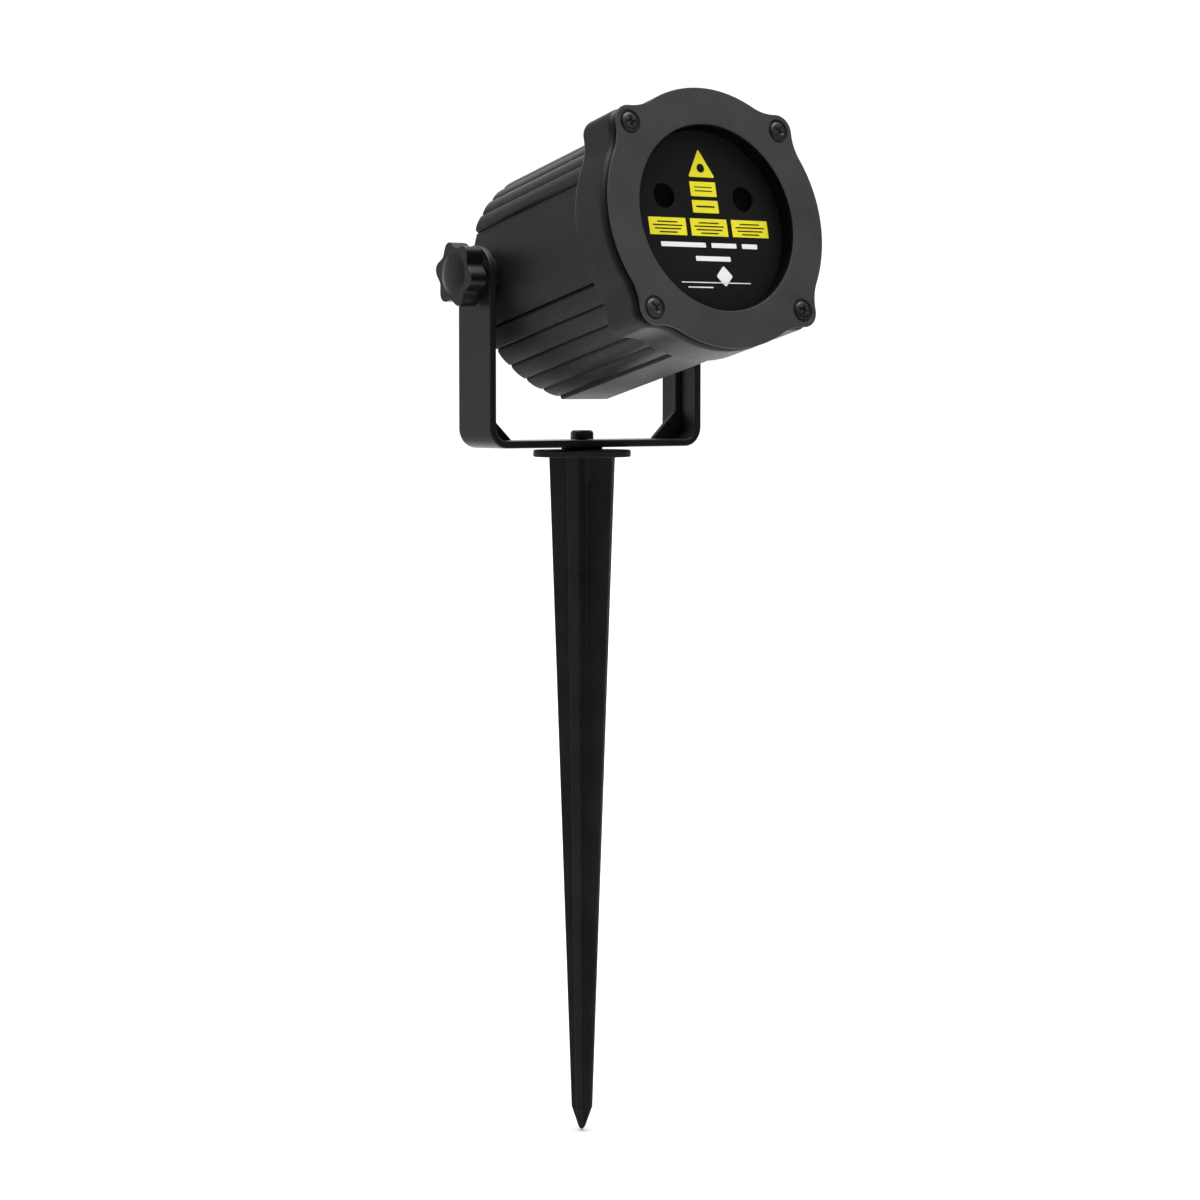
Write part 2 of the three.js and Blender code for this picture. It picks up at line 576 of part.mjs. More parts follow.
function makeFront() {
  const gasketLow = FLANGE_FRONT + 0.25;
  const gasketHigh = FACE_STATION - BEZEL_THICKNESS - 0.25;
  const screwHoles = (radius, low, high) => atEars((x, y) => (
    solid(rod(radius, low, high).translate(x, y, 0))
  ));
  const gasket = cut(
    solid(pushed(earOutline(FLANGE_EDGE), gasketLow, gasketHigh)),
    solid(rod(PANEL_BORE + 0.9, gasketLow - 1, gasketHigh + 1)),
    ...screwHoles(CLEARANCE_RADIUS + 0.2, gasketLow - 1, gasketHigh + 1),
  );
  const bezelBack = FACE_STATION - BEZEL_THICKNESS;
  const plate = solid(earSlab(bezelBack - 5, FACE_STATION, BEZEL_EDGE, 2))
    .subtract(solid(box(-90, 90, -90, 90, bezelBack - 20, bezelBack)));
  const collar = solid(rod(PANEL_BORE - GAP, MASK_STATION + GAP, bezelBack + 1));
  const opening = turned([
    [0, MASK_STATION - 1], [WINDOW_RADIUS, MASK_STATION - 1], [WINDOW_RADIUS, FACE_STATION - 0.8],
    [WINDOW_RADIUS + 0.8, FACE_STATION], [WINDOW_RADIUS + 1.8, FACE_STATION + 1], [0, FACE_STATION + 1],
  ]);
  const bezel = cut(
    join(plate, collar),
    solid(opening),
    ...screwHoles(CLEARANCE_RADIUS, bezelBack - 1, FACE_STATION + 1),
    ...screwHoles(SCREW_WELL_RADIUS, FACE_STATION - SCREW_RECESS, FACE_STATION + 1),
  );
  const screwSeat = FACE_STATION - SCREW_RECESS + 0.2;
  const screws = atEars((x, y, number) => {
    const screw = piece(`front_screw_${number}`, panScrew(4, 1.8, 1.5, 13), screwBlack);
    screw.position.set(x, y, screwSeat);
    screw.rotation.z = rad(20 + 35 * number);
    return screw;
  });
  return [piece('front_gasket', gasket, sealBlack), piece('front_bezel', bezel, bezelBlack), ...screws];
}

function makeWindow() {
  const discRadius = PANEL_BORE - GAP;
  const maskBack = MASK_STATION - MASK_THICKNESS;
  const apertures = [-1, 1].map((side) => solid(
    rod(APERTURE_RADIUS, maskBack - 1, MASK_STATION + 1).translate(side * APERTURE_X, APERTURE_Y, 0),
  ));
  const mask = cut(solid(rod(discRadius, maskBack, MASK_STATION)), ...apertures);
  const glassFront = maskBack - 0.2;
  const glassBack = glassFront - GLASS_THICKNESS;
  const glass = rod(discRadius, glassBack, glassFront);
  const sealMiddle = (glassBack + SHOULDER_STATION) / 2;
  const seal = new THREE.TorusGeometry(discRadius - SEAL_SECTION - 0.6, SEAL_SECTION, 6, 32);
  return [
    piece('mask_panel', mask, panelBlack),
    piece('window_glass', glass, clearGlass),
    piece('window_oring', seal.translate(0, 0, sealMiddle), sealBlack),
  ];
}

// Rear cover with its seal, screws and cable gland.
function makeRear() {
  const gasketHigh = COVER_LEDGE - 0.25;
  const gasketLow = gasketHigh - 0.75;
  const coverHigh = gasketLow - 0.2;
  const coverLow = coverHigh - COVER_THICKNESS;
  const screwSpots = [45, 135, 225, 315].map((turn) => polar(REAR_SCREW_RADIUS, turn));
  const screwHoles = screwSpots.map(([x, y]) => (
    solid(rod(CLEARANCE_RADIUS, coverLow - 1, coverHigh + 1).translate(x, y, 0))
  ));
  const threadHole = GLAND_THREAD_RADIUS + GAP;
  const glandHole = rod(threadHole, coverLow - 1, coverHigh + 1).translate(0, -GLAND_DROP, 0);
  const cover = turned([
    [0, coverLow], [COVER_RADIUS - 0.8, coverLow], [COVER_RADIUS, coverLow + 0.8],
    [COVER_RADIUS, coverHigh], [0, coverHigh],
  ]);
  const gasket = tube(COVER_RADIUS - 2.4, COVER_RADIUS - 0.2, gasketLow, gasketHigh);
  const screws = screwSpots.map(([x, y], index) => {
    const screw = piece(`rear_screw_${index + 1}`, panScrew(2.8, 1.8, 1.25, 9), screwBlack);
    screw.position.set(x, y, coverLow - 0.2);
    screw.rotation.set(Math.PI, 0, rad(25 * index));
    return screw;
  });

  const gland = new THREE.Group();
  gland.position.set(0, -GLAND_DROP, coverLow);
  gland.rotation.x = Math.PI; // +Z of the gland points out of the back
  const bodyHex = pushed(hexagon(GLAND_ACROSS_FLATS), 0.2, 5);
  const bodyThread = rod(GLAND_THREAD_RADIUS, -8.5, 12);
  const bodyBore = rod(4.6, -10, 13);
  const body = cut(join(solid(bodyHex), solid(bodyThread)), solid(bodyBore));
  const locknutHex = pushed(hexagon(GLAND_ACROSS_FLATS), -7.6, -3.2);
  const locknut = cut(solid(locknutHex), solid(rod(threadHole, -9, -2)));
  const nutShell = turned([
    [0, 5.3], [8.2, 5.3], [8.2, 12.5], [7.6, 15], [6.2, 17.2], [0, 17.2],
  ]);
  const grips = pushed(hexagon(GLAND_ACROSS_FLATS - 0.4), 5.3, 11);
  const nutBore = turned([
    [0, 5], [threadHole, 5], [threadHole, 13], [4.9, 15.4], [4.9, 18], [0, 18],
  ]);
  const nut = cut(join(solid(nutShell), solid(grips)), solid(nutBore));
  const cableBore = 3.1;
  const seal = turned([
    [cableBore, 4], [4.3, 4], [4.3, 12.2], [5.4, 12.4], [5.4, 13.2], [4.5, 15], [4.5, 16.6],
    [cableBore, 16.6], [cableBore, 4],
  ]);
  gland.add(
    piece('gland_body', body, partBlack),
    piece('gland_locknut', locknut, partBlack),
    piece('gland_nut', nut, partBlack),
    piece('gland_seal', seal, sealBlack),
  );
  return [
    piece('rear_cover', cut(solid(cover), ...screwHoles, solid(glandHole)), castBlack),
    piece('rear_gasket', gasket, sealBlack),
    ...screws,
    gland,
  ];
}

// ---------------------------------------------------------------- optics and drive

// Spur gear outline with straight-sided teeth; the first tooth points along +X.
function gearOutline(teeth) {
  const pitchRadius = (teeth * TOOTH_MODULE) / 2;
  const tip = pitchRadius + 0.8 * TOOTH_MODULE;
  const root = pitchRadius - 1.1 * TOOTH_MODULE;
  const step = 360 / teeth;
  const points = [];
  for (let k = 0; k < teeth; k += 1) {
    const middle = k * step;
    points.push(polar(root, middle - 0.3 * step), polar(tip, middle - 0.11 * step));
    points.push(polar(tip, middle + 0.11 * step), polar(root, middle + 0.3 * step));
  }
  return polygon(points);
}

// One laser beam's parts: module, guide sleeve, and the grating wheel that turns on the sleeve.
function makeBeam(side) {
  const name = side < 0 ? 'left' : 'right';
  const group = new THREE.Group();
  group.position.set(side * APERTURE_X, APERTURE_Y, 0);
  const carrierBack = CARRIER_STATION - CARRIER_THICKNESS;
  const module = turned([
    [0, LASER_BACK], [LASER_RADIUS, LASER_BACK], [LASER_RADIUS, CARRIER_STATION - 0.8],
    [2.5, CARRIER_STATION - 0.8], [2.5, CARRIER_STATION - 3], [0, CARRIER_STATION - 3],
  ]);
  const sleeveLow = CARRIER_STATION + GAP;
  const sleeve = turned([
    [SLEEVE_BORE, sleeveLow], [SLEEVE_RADIUS + 2, sleeveLow], [SLEEVE_RADIUS + 2, sleeveLow + 1.2],
    [SLEEVE_RADIUS, sleeveLow + 1.2], [SLEEVE_RADIUS, SLEEVE_FRONT], [SLEEVE_BORE, SLEEVE_FRONT],
    [SLEEVE_BORE, sleeveLow],
  ]);
  const hubRadius = SLEEVE_RADIUS + 2.4;
  const boreRadius = SLEEVE_RADIUS + GAP;
  const gear = pushed(gearOutline(WHEEL_TEETH), GEAR_STATION, GEAR_STATION + GEAR_WIDTH);
  const hubFront = SLEEVE_FRONT + 1;
  const hub = rod(hubRadius, GEAR_STATION, hubFront);
  const bore = rod(boreRadius, GEAR_STATION - 1, hubFront + 1);
  const wheel = cut(join(solid(gear), solid(hub)), solid(bore));
  const gratingBack = hubFront + GAP;
  const grating = rod(hubRadius, gratingBack, gratingBack + 0.8);
  const wheelMesh = piece(`${name}_grating_wheel`, wheel, wheelWhite);
  wheelMesh.rotation.z = side < 0 ? 0 : Math.PI / WHEEL_TEETH; // half a tooth, to mesh with the pinion
  group.add(
    piece(side < 0 ? 'red_laser_module' : 'green_laser_module', module, brass),
    piece(`${name}_wheel_sleeve`, sleeve, brass),
    wheelMesh,
    piece(`${name}_grating`, grating, clearGlass),
  );
  const holes = solid(rod(LASER_RADIUS + GAP, carrierBack - 1, CARRIER_STATION + 1)
    .translate(side * APERTURE_X, APERTURE_Y, 0));
  const sinkBore = solid(rod(LASER_RADIUS + GAP, 10, 80).translate(side * APERTURE_X, APERTURE_Y, 0));
  return { group, holes, sinkBore };
}

function makeOptics() {
  const beams = [makeBeam(-1), makeBeam(1)];
  const carrierBack = CARRIER_STATION - CARRIER_THICKNESS;
  const screwSpots = [0, 90, 180, 270].map((turn) => polar(CARRIER_SCREW_RADIUS, turn));
  const drilled = screwSpots.map(([x, y]) => solid(
    rod(1.9, carrierBack - 1, CARRIER_STATION + 1).translate(x, y, 0),
  ));
  const noseRadius = MOTOR_RADIUS / 2 + GAP;
  const noseHole = rod(noseRadius, carrierBack - 1, CARRIER_STATION + 1).translate(0, APERTURE_Y, 0);
  const wireNotch = box(-10, 10, -34, -26, carrierBack - 1, CARRIER_STATION + 1);
  const carrier = cut(
    solid(rod(CARRIER_RADIUS, carrierBack, CARRIER_STATION)),
    ...beams.map((beam) => beam.holes),
    ...drilled,
    solid(noseHole),
    solid(wireNotch),
  );
  const screws = screwSpots.map(([x, y], index) => {
    const screw = piece(`carrier_screw_${index + 1}`, panScrew(2.7, 1.8, 1.25, 9), steel);
    screw.position.set(x, y, carrierBack - 0.2);
    screw.rotation.x = Math.PI;
    return screw;
  });

  const { halfWidth, low, high, back } = HEATSINK;
  const front = carrierBack - GAP;
  const fins = [];
  for (let x = -halfWidth + 4; x < halfWidth - 4; x += 6) {
    fins.push(solid(box(x, x + 3, high - 5, high + 1, back - 1, front + 1)));
  }
  const bay = MOTOR_RADIUS + 0.6;
  const motorBay = box(-bay, bay, APERTURE_Y - bay, high + 1, MOTOR_BACK - 1, front + 1);
  const heatsink = cut(
    solid(box(-halfWidth, halfWidth, low, high, back, front)),
    ...fins,
    solid(motorBay),
    ...beams.map((beam) => beam.sinkBore),
  );

  const can = rod(MOTOR_RADIUS, MOTOR_BACK, front - 0.2);
  const nose = rod(MOTOR_RADIUS / 2, front - 1, CARRIER_STATION - 0.4);
  const shaftBack = MOTOR_BACK + 7;
  const shaftHole = rod(SHAFT_RADIUS + GAP, shaftBack - 1, CARRIER_STATION);
  const shaft = rod(SHAFT_RADIUS, shaftBack, GEAR_STATION + GEAR_WIDTH + 1.2);
  const pinion = cut(
    solid(pushed(gearOutline(PINION_TEETH), GEAR_STATION, GEAR_STATION + GEAR_WIDTH)),
    solid(rod(SHAFT_RADIUS + 0.15, GEAR_STATION - 1, GEAR_STATION + GEAR_WIDTH + 1)),
  );
  const drive = new THREE.Group();
  drive.position.y = APERTURE_Y;
  drive.add(
    piece('grating_motor', cut(join(solid(can), solid(nose)), solid(shaftHole)), steel),
    piece('motor_shaft', shaft, steel),
    piece('motor_pinion', pinion, wheelWhite),
  );
  return [
    piece('carrier_plate', carrier, aluminium),
    ...screws,
    piece('heatsink', heatsink, aluminium),
    drive,
    ...beams.map((beam) => beam.group),
  ];
}

function makeElectronics() {
  const boardTop = BOARD_HEIGHT + BOARD_THICKNESS;
  const board = box(-BOARD_HALF_WIDTH, BOARD_HALF_WIDTH, BOARD_HEIGHT, boardTop, 4, 52);
  const standoffs = [[-1, 30], [1, 30], [-1, 48], [1, 48]].map(([side, station], index) => {
    const geometry = pushed(hexagon(5), boardTop + GAP, HEATSINK.low - GAP).rotateX(-Math.PI / 2);
    return piece(`board_standoff_${index + 1}`, geometry.translate(side * 24, 0, station), brass);
  });
  const under = BOARD_HEIGHT - GAP;
  const connector = cut(
    solid(box(-6, 6, under - 8, under, 6, 15)),
    solid(box(-5, 5, under - 7, under - 2, 5, 12)),
  );
  const capacitor = rod(5, 0, 13).translate(14, under - 5.3, 20);
  const chip = box(-7, 3, under - 2, under, 26, 33);
  return [
    piece('driver_board', board, boardGreen),
    ...standoffs,
    piece('power_connector', connector, wheelWhite),
    piece('filter_capacitor', capacitor, capBlue),
    piece('driver_chip', chip, partBlack),
  ];
}

// ---------------------------------------------------------------- assembly

const head = new THREE.Group();
head.position.z = PIVOT_HEIGHT;
head.rotation.x = Math.PI / 2 - rad(TILT);
head.add(
  makeHousing(),
  ...makeFront(),
  ...makeWindow(),
  ...makeRear(),
  ...makeOptics(),
  ...makeElectronics(),
);

const group = new THREE.Group();
group.add(makeSpike(), ...makePanJoint(), makeYoke(), makeClamp(-1), makeClamp(1), head);

export default group;
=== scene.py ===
"""Garden light projector on a ground spike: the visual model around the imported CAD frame.

Shapes are built in millimetres and placed in metres. The head is built in its own axes: X to the
right seen from the front, Y up, and Z forwards along its axis from the tilt axis.
"""
import json
import math

import bmesh
import bpy
from mathutils import Matrix, Vector


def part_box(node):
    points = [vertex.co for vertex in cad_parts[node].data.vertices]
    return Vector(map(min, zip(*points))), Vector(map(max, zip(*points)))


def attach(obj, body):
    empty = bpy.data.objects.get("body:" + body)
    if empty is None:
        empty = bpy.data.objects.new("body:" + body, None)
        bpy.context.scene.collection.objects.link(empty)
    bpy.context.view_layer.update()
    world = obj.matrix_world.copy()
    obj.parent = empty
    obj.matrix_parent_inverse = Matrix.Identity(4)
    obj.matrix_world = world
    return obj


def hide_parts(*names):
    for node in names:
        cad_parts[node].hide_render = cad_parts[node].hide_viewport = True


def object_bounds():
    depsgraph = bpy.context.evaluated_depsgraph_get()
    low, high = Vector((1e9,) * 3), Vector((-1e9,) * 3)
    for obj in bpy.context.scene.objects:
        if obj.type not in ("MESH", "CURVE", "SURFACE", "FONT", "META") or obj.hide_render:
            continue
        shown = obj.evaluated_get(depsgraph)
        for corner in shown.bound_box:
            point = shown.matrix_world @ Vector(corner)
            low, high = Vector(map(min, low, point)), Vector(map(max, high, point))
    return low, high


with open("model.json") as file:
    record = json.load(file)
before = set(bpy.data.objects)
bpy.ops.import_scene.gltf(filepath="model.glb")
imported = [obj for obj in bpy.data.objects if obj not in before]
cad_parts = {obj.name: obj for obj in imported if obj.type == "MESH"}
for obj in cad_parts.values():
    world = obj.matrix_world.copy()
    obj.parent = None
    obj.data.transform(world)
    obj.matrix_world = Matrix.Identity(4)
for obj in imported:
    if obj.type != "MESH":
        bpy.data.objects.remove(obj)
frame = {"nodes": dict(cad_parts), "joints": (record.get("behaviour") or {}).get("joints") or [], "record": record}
cad_low, cad_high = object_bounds()

# ---------------------------------------------------------------- frame

MM = 0.001
joints = {joint["name"]: joint for joint in frame["joints"]}
nodes = frame["nodes"]
pivot = Vector(joints["head_tilt"]["pos_m"])
forward = Vector(joints["left_wheel_spin"]["axis"]).normalized()
right = Vector((1, 0, 0))
up = forward.cross(right)


def placed(x_axis, y_axis, z_axis, origin):
    """Matrix from a piece's own millimetres to the row frame in metres."""
    turn = Matrix((x_axis, y_axis, z_axis)).transposed().to_4x4()
    return Matrix.Translation(origin) @ turn @ Matrix.Scale(MM, 4)


UPRIGHT = Matrix.Scale(MM, 4)
HEAD = placed(right, up, forward, pivot)
LEFT_CLAMP = placed(Vector((0, 0, 1)), Vector((0, 1, 0)), Vector((-1, 0, 0)), pivot)
RIGHT_CLAMP = placed(Vector((0, 0, -1)), Vector((0, 1, 0)), Vector((1, 0, 0)), pivot)

# ---------------------------------------------------------------- sizes in millimetres

yoke_low, yoke_high = (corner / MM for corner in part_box("yoke"))
spike_low, spike_high = (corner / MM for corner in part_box("spike"))
PIVOT_HEIGHT = pivot.z / MM

DISC_RADIUS = spike_high.x
DISC_THICKNESS = spike_high.z
TIP = spike_low.z
SHOULDER = TIP + 10
FIN_TURN = 37
FIN_WIDTH = (29.2, 9.1)  # at the disc and at the shoulder
FIN_THICKNESS = (5.3, 3.2)
BOSS_RADIUS = 5.5
BOSS_LENGTH = 11.5
BOLT_HOLE_RADIUS = 2.9
PAN_HEAD_RADIUS = 5.1
PAN_HEAD_HEIGHT = 4
HEX_KEY = 3  # across its flats

ARM = yoke_high.x  # outer face of an arm
YOKE_DEPTH = yoke_high.y - yoke_low.y
BAR_LOW = yoke_low.z
STRAP = 3.2
CORNER_RADIUS = 8.5
RIB = 2.5
RIB_TOP = 60
GUSSET = 12.5

KNOB_FACE = 67
KNOB_THICKNESS = 8.4
KNOB_RADIUS = 14.2
KNOB_VALLEY = 11.3
KNOB_LOBES = 6
KNOB_TURN = 41
NECK_RADIUS = 7.5
KNOB_EDGE = 0.35  # radius of the front edge
KNOB_BACK_EDGE = 0.8
CAP_RADIUS = 9
CAP_RISE = 2.2
WASHER = 1
SLIP = 0.2  # clearance on each side of a washer
STUD_RADIUS = 3
GAP = 0.3

BARREL_RADIUS = 51.7
PANEL_RADIUS = 50.2
PANEL_HALF_ANGLE = 24.2
PAD_DISTANCE_TOP = 49.2
PAD_DISTANCE_BOTTOM = 52.2
PAD_HALF_WIDTH = 11.9
RIBS_PER_QUADRANT = 5
GROOVE_SHARE = 0.24
RIB_CROWN = 0.3
GROOVE_DEPTH = 1.2
UPPER_FALL = 1.1
PANEL_GROOVE = 0.8  # further depth of the groove along a side panel
LOWER_SWELL = 1.3
WALL = 3.4
SHOULDER_STATIONS = (84, 81)  # front and back of the inward shoulder behind the window
BORE_STATIONS = (79, -2)
PIVOT_PAD_RADIUS = 8.8
PIVOT_PAD_FACE = 52.1
CARRIER_SCREW_RADIUS = 42.5
REAR_RIM = -10.4
FLANGE_BACK = 73.4
FLANGE_FRONT = 94.4
FLANGE_EDGE = 2.7
FACE_STATION = 98.5
FACE_RADIUS = 55
EAR_CENTRE = 38.5
EAR_RADIUS = 7.1
EAR_FILLET = 22
BEZEL_BACK = 96.5
BEZEL_EDGE = 0.4
SCREW_WELL_RADIUS = 5
SCREW_RECESS = 1.1
WINDOW_RADIUS = 38.9
PANEL_BORE = 44.1
SHOULDER_BORE = 38.5
MASK_STATION = 91.2
MASK_THICKNESS = 1.2
APERTURE_RADIUS = 5.3
APERTURE_X = 20.5
APERTURE_Y = 10.5
COVER_LEDGE = -4.6
COVER_RADIUS = 46.6
COVER_BACK = -8.5
REAR_SCREW_RADIUS = 42
GLAND_DROP = 15

# ---------------------------------------------------------------- mesh helpers


def polar(radius, degrees):
    angle = math.radians(degrees)
    return radius * math.cos(angle), radius * math.sin(angle)


def hexagon(half_width):
    """Six corners, with flats this far from the middle."""
    return [polar(half_width / math.cos(math.radians(30)), 60 * i) for i in range(6)]


def soft(corners, steps=4):
    """Closed outline through corners (x, y, radius), each rounded to its radius where it has one."""
    outline = []
    for index, (x, y, *rest) in enumerate(corners):
        here = Vector((x, y))
        if not rest:
            outline.append((x, y))
            continue
        before = Vector(corners[index - 1][:2]) - here
        after = Vector(corners[(index + 1) % len(corners)][:2]) - here
        half = before.angle(after) / 2
        reach = min(rest[0] / math.tan(half), before.length * 0.49, after.length * 0.49)
        radius = reach * math.tan(half)
        middle = here + (before.normalized() + after.normalized()).normalized() * radius / math.sin(half)
        start = here + before.normalized() * reach - middle
        sweep = start.angle_signed(here + after.normalized() * reach - middle)
        for step in range(steps + 1):
            angle = -sweep * step / steps
            outline.append(tuple(middle + Matrix.Rotation(angle, 2) @ start))
    return outline


def loft(rings, closed=False, capped=False):
    """Object skinned over rings of points. A ring of one point is a pole."""
    points = []
    starts = []
    for ring in rings:
        starts.append(len(points))
        points.extend(ring)
    pairs = [(i, i + 1) for i in range(len(rings) - 1)]
    if closed:
        pairs.append((len(rings) - 1, 0))
    faces = []
    for a, b in pairs:
        size_a, size_b = len(rings[a]), len(rings[b])
        for i in range(max(size_a, size_b)):
            j = (i + 1) % max(size_a, size_b)
            corners = (
                starts[a] + i % size_a,
                starts[a] + j % size_a,
                starts[b] + j % size_b,
                starts[b] + i % size_b,
            )
            faces.append(tuple(dict.fromkeys(corners)))
    if capped:
        faces.append(tuple(range(len(rings[0]))))
        faces.append(tuple(range(starts[-1], len(points))))
    return solid(points, faces)


def solid(points, faces):
    mesh = bpy.data.meshes.new("shape")
    mesh.from_pydata([tuple(point) for point in points], [], faces)
    work = bmesh.new()
    work.from_mesh(mesh)
    bmesh.ops.recalc_face_normals(work, faces=work.faces)
    work.to_mesh(mesh)
    work.free()
    shape = bpy.data.objects.new("shape", mesh)
    bpy.context.scene.collection.objects.link(shape)
    return shape


def turned(profile, count=96):
    """Round body about Z through (radius, height) pairs: a closed outline, or one from pole to pole."""
    rings = []
    for radius, height in profile:
        if radius < 1e-6:
            rings.append([(0, 0, height)])
        else:
            rings.append([(*polar(radius, 360 * i / count), height) for i in range(count)])
    return loft(rings, closed=profile[0][0] > 1e-6)


def rod(radius, low, high, count=64):
    return turned([(0, low), (radius, low), (radius, high), (0, high)], count)


def pushed(outline, low, high):
    """Prism of a flat outline, from one height to another along Z."""
    return loft([[(x, y, low) for x, y in outline], [(x, y, high) for x, y in outline]], capped=True)


def quarter_round(radius, degrees):
    """How far a rounded edge is drawn in and set back, from its side at 0 degrees to its face at 90."""
    angle = math.radians(degrees)
    return radius * (1 - math.cos(angle)), radius * (1 - math.sin(angle))


def moved(shape, matrix):
    shape.data.transform(matrix)
    return shape


def shifted(shape, x, y, z=0):
    return moved(shape, Matrix.Translation((x, y, z)))


def rotated(shape, degrees, axis):
    return moved(shape, Matrix.Rotation(math.radians(degrees), 4, axis))


def applied(shape):
    """The shape with its modifiers in its mesh."""
    evaluated = shape.evaluated_get(bpy.context.evaluated_depsgraph_get())
    mesh = bpy.data.meshes.new_from_object(evaluated)
    shape.modifiers.clear()
    shape.data = mesh
    return shape


def combined(shape, others, operation):
    for other in others:
        modifier = shape.modifiers.new("cut", "BOOLEAN")
        modifier.operation = operation
        modifier.solver = "EXACT"
        modifier.object = other
    applied(shape)
    for other in others:
        bpy.data.objects.remove(other)
    return shape


def cut(shape, *others):
    return combined(shape, others, "DIFFERENCE")


def join(shape, *others):
    return combined(shape, others, "UNION")


def rounded(shape, width, segments=3, angle=35):
    modifier = shape.modifiers.new("edges", "BEVEL")
    modifier.width = width
    modifier.segments = segments
    modifier.limit_method = "ANGLE"
    modifier.angle_limit = math.radians(angle)
    modifier.harden_normals = False
    return applied(shape)


def merged(*shapes):
    """Separate bodies as one object."""
    work = bmesh.new()
    for shape in shapes:
        work.from_mesh(shape.data)
    mesh = bpy.data.meshes.new("shape")
    work.to_mesh(mesh)
    work.free()
    for shape in shapes[1:]:
        bpy.data.objects.remove(shape)
    shapes[0].data = mesh
    return shapes[0]


def finished(name, shape, matrix, body, slot, replaces=(), crease=32):
    """Places a shape, shades it, and ties it to its body, its slot with that look, and its CAD nodes."""
    shape.name = name
    shape.data.name = name
    moved(shape, matrix)
    for face in shape.data.polygons:
        face.use_smooth = True
    shape.data.set_sharp_from_angle(angle=math.radians(crease))
    weighted = shape.modifiers.new("normals", "WEIGHTED_NORMAL")
    weighted.keep_sharp = True
    weighted.weight = 100
    applied(shape)
    shape.data.name = name
    shape.data.materials.clear()
    shape.data.materials.append(LOOKS[slot])
    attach(shape, body)
    if replaces:
        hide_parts(*replaces)
    return shape


# ---------------------------------------------------------------- materials


def new_material(name):
    material = bpy.data.materials.new(name)
    material.use_nodes = True
    tree = material.node_tree
    return material, tree, tree.nodes["Principled BSDF"]


def noise(tree, scale, detail=3.0, roughness=0.55):
    """Noise texture in the object's own metres."""
    place = tree.nodes.new("ShaderNodeTexCoord")
    texture = tree.nodes.new("ShaderNodeTexNoise")
    texture.inputs["Scale"].default_value = scale
    texture.inputs["Detail"].default_value = detail
    texture.inputs["Roughness"].default_value = roughness
    tree.links.new(place.outputs["Object"], texture.inputs["Vector"])
    return texture.outputs["Fac"]


def ramped(tree, value, start, end, low, high):
    """Maps a value between start and end onto the range from low to high."""
    node = tree.nodes.new("ShaderNodeMapRange")
    node.inputs["From Min"].default_value = start
    node.inputs["From Max"].default_value = end
    node.inputs["To Min"].default_value = low
    node.inputs["To Max"].default_value = high
    tree.links.new(value, node.inputs["Value"])
    return node.outputs["Result"]


def spread(tree, value, low, high):
    """Maps a noise value onto the range from low to high."""
    return ramped(tree, value, 0.3, 0.7, low, high)


def tinted(tree, value, first, second):
    node = tree.nodes.new("ShaderNodeMix")
    node.data_type = "RGBA"
    node.inputs["A"].default_value = (*first, 1)
    node.inputs["B"].default_value = (*second, 1)
    tree.links.new(value, node.inputs["Factor"])
    return node.outputs["Result"]


def bumped(tree, shader, height, distance, strength, under=None):
    node = tree.nodes.new("ShaderNodeBump")
    node.inputs["Strength"].default_value = strength
    node.inputs["Distance"].default_value = distance
    tree.links.new(height, node.inputs["Height"])
    if under:
        tree.links.new(under, node.inputs["Normal"])
    tree.links.new(node.outputs["Normal"], shader.inputs["Normal"])
    return node.outputs["Normal"]


def grained(name, colour, spread_of_colour, roughness, specular, grain, depth, metallic=0.0):
    """Coated or moulded surface: cloudy colour, uneven gloss and a fine grain of the given scale."""
    material, tree, shader = new_material(name)
    dark = tuple(channel * (1 - spread_of_colour) for channel in colour)
    light = tuple(channel * (1 + spread_of_colour) for channel in colour)
    cloud = noise(tree, 45, 5)
    speck = noise(tree, grain * 0.6, 2)
    tree.links.new(tinted(tree, spread(tree, cloud, 0, 1), dark, light), shader.inputs["Base Color"])
    tree.links.new(spread(tree, speck, *roughness), shader.inputs["Roughness"])
    shader.inputs["Specular IOR Level"].default_value = specular
    shader.inputs["Metallic"].default_value = metallic
    coarse = bumped(tree, shader, noise(tree, grain * 0.25, 2), depth * 2, 0.35)
    bumped(tree, shader, noise(tree, grain, 3, 0.6), depth, 0.6, under=coarse)
    return material


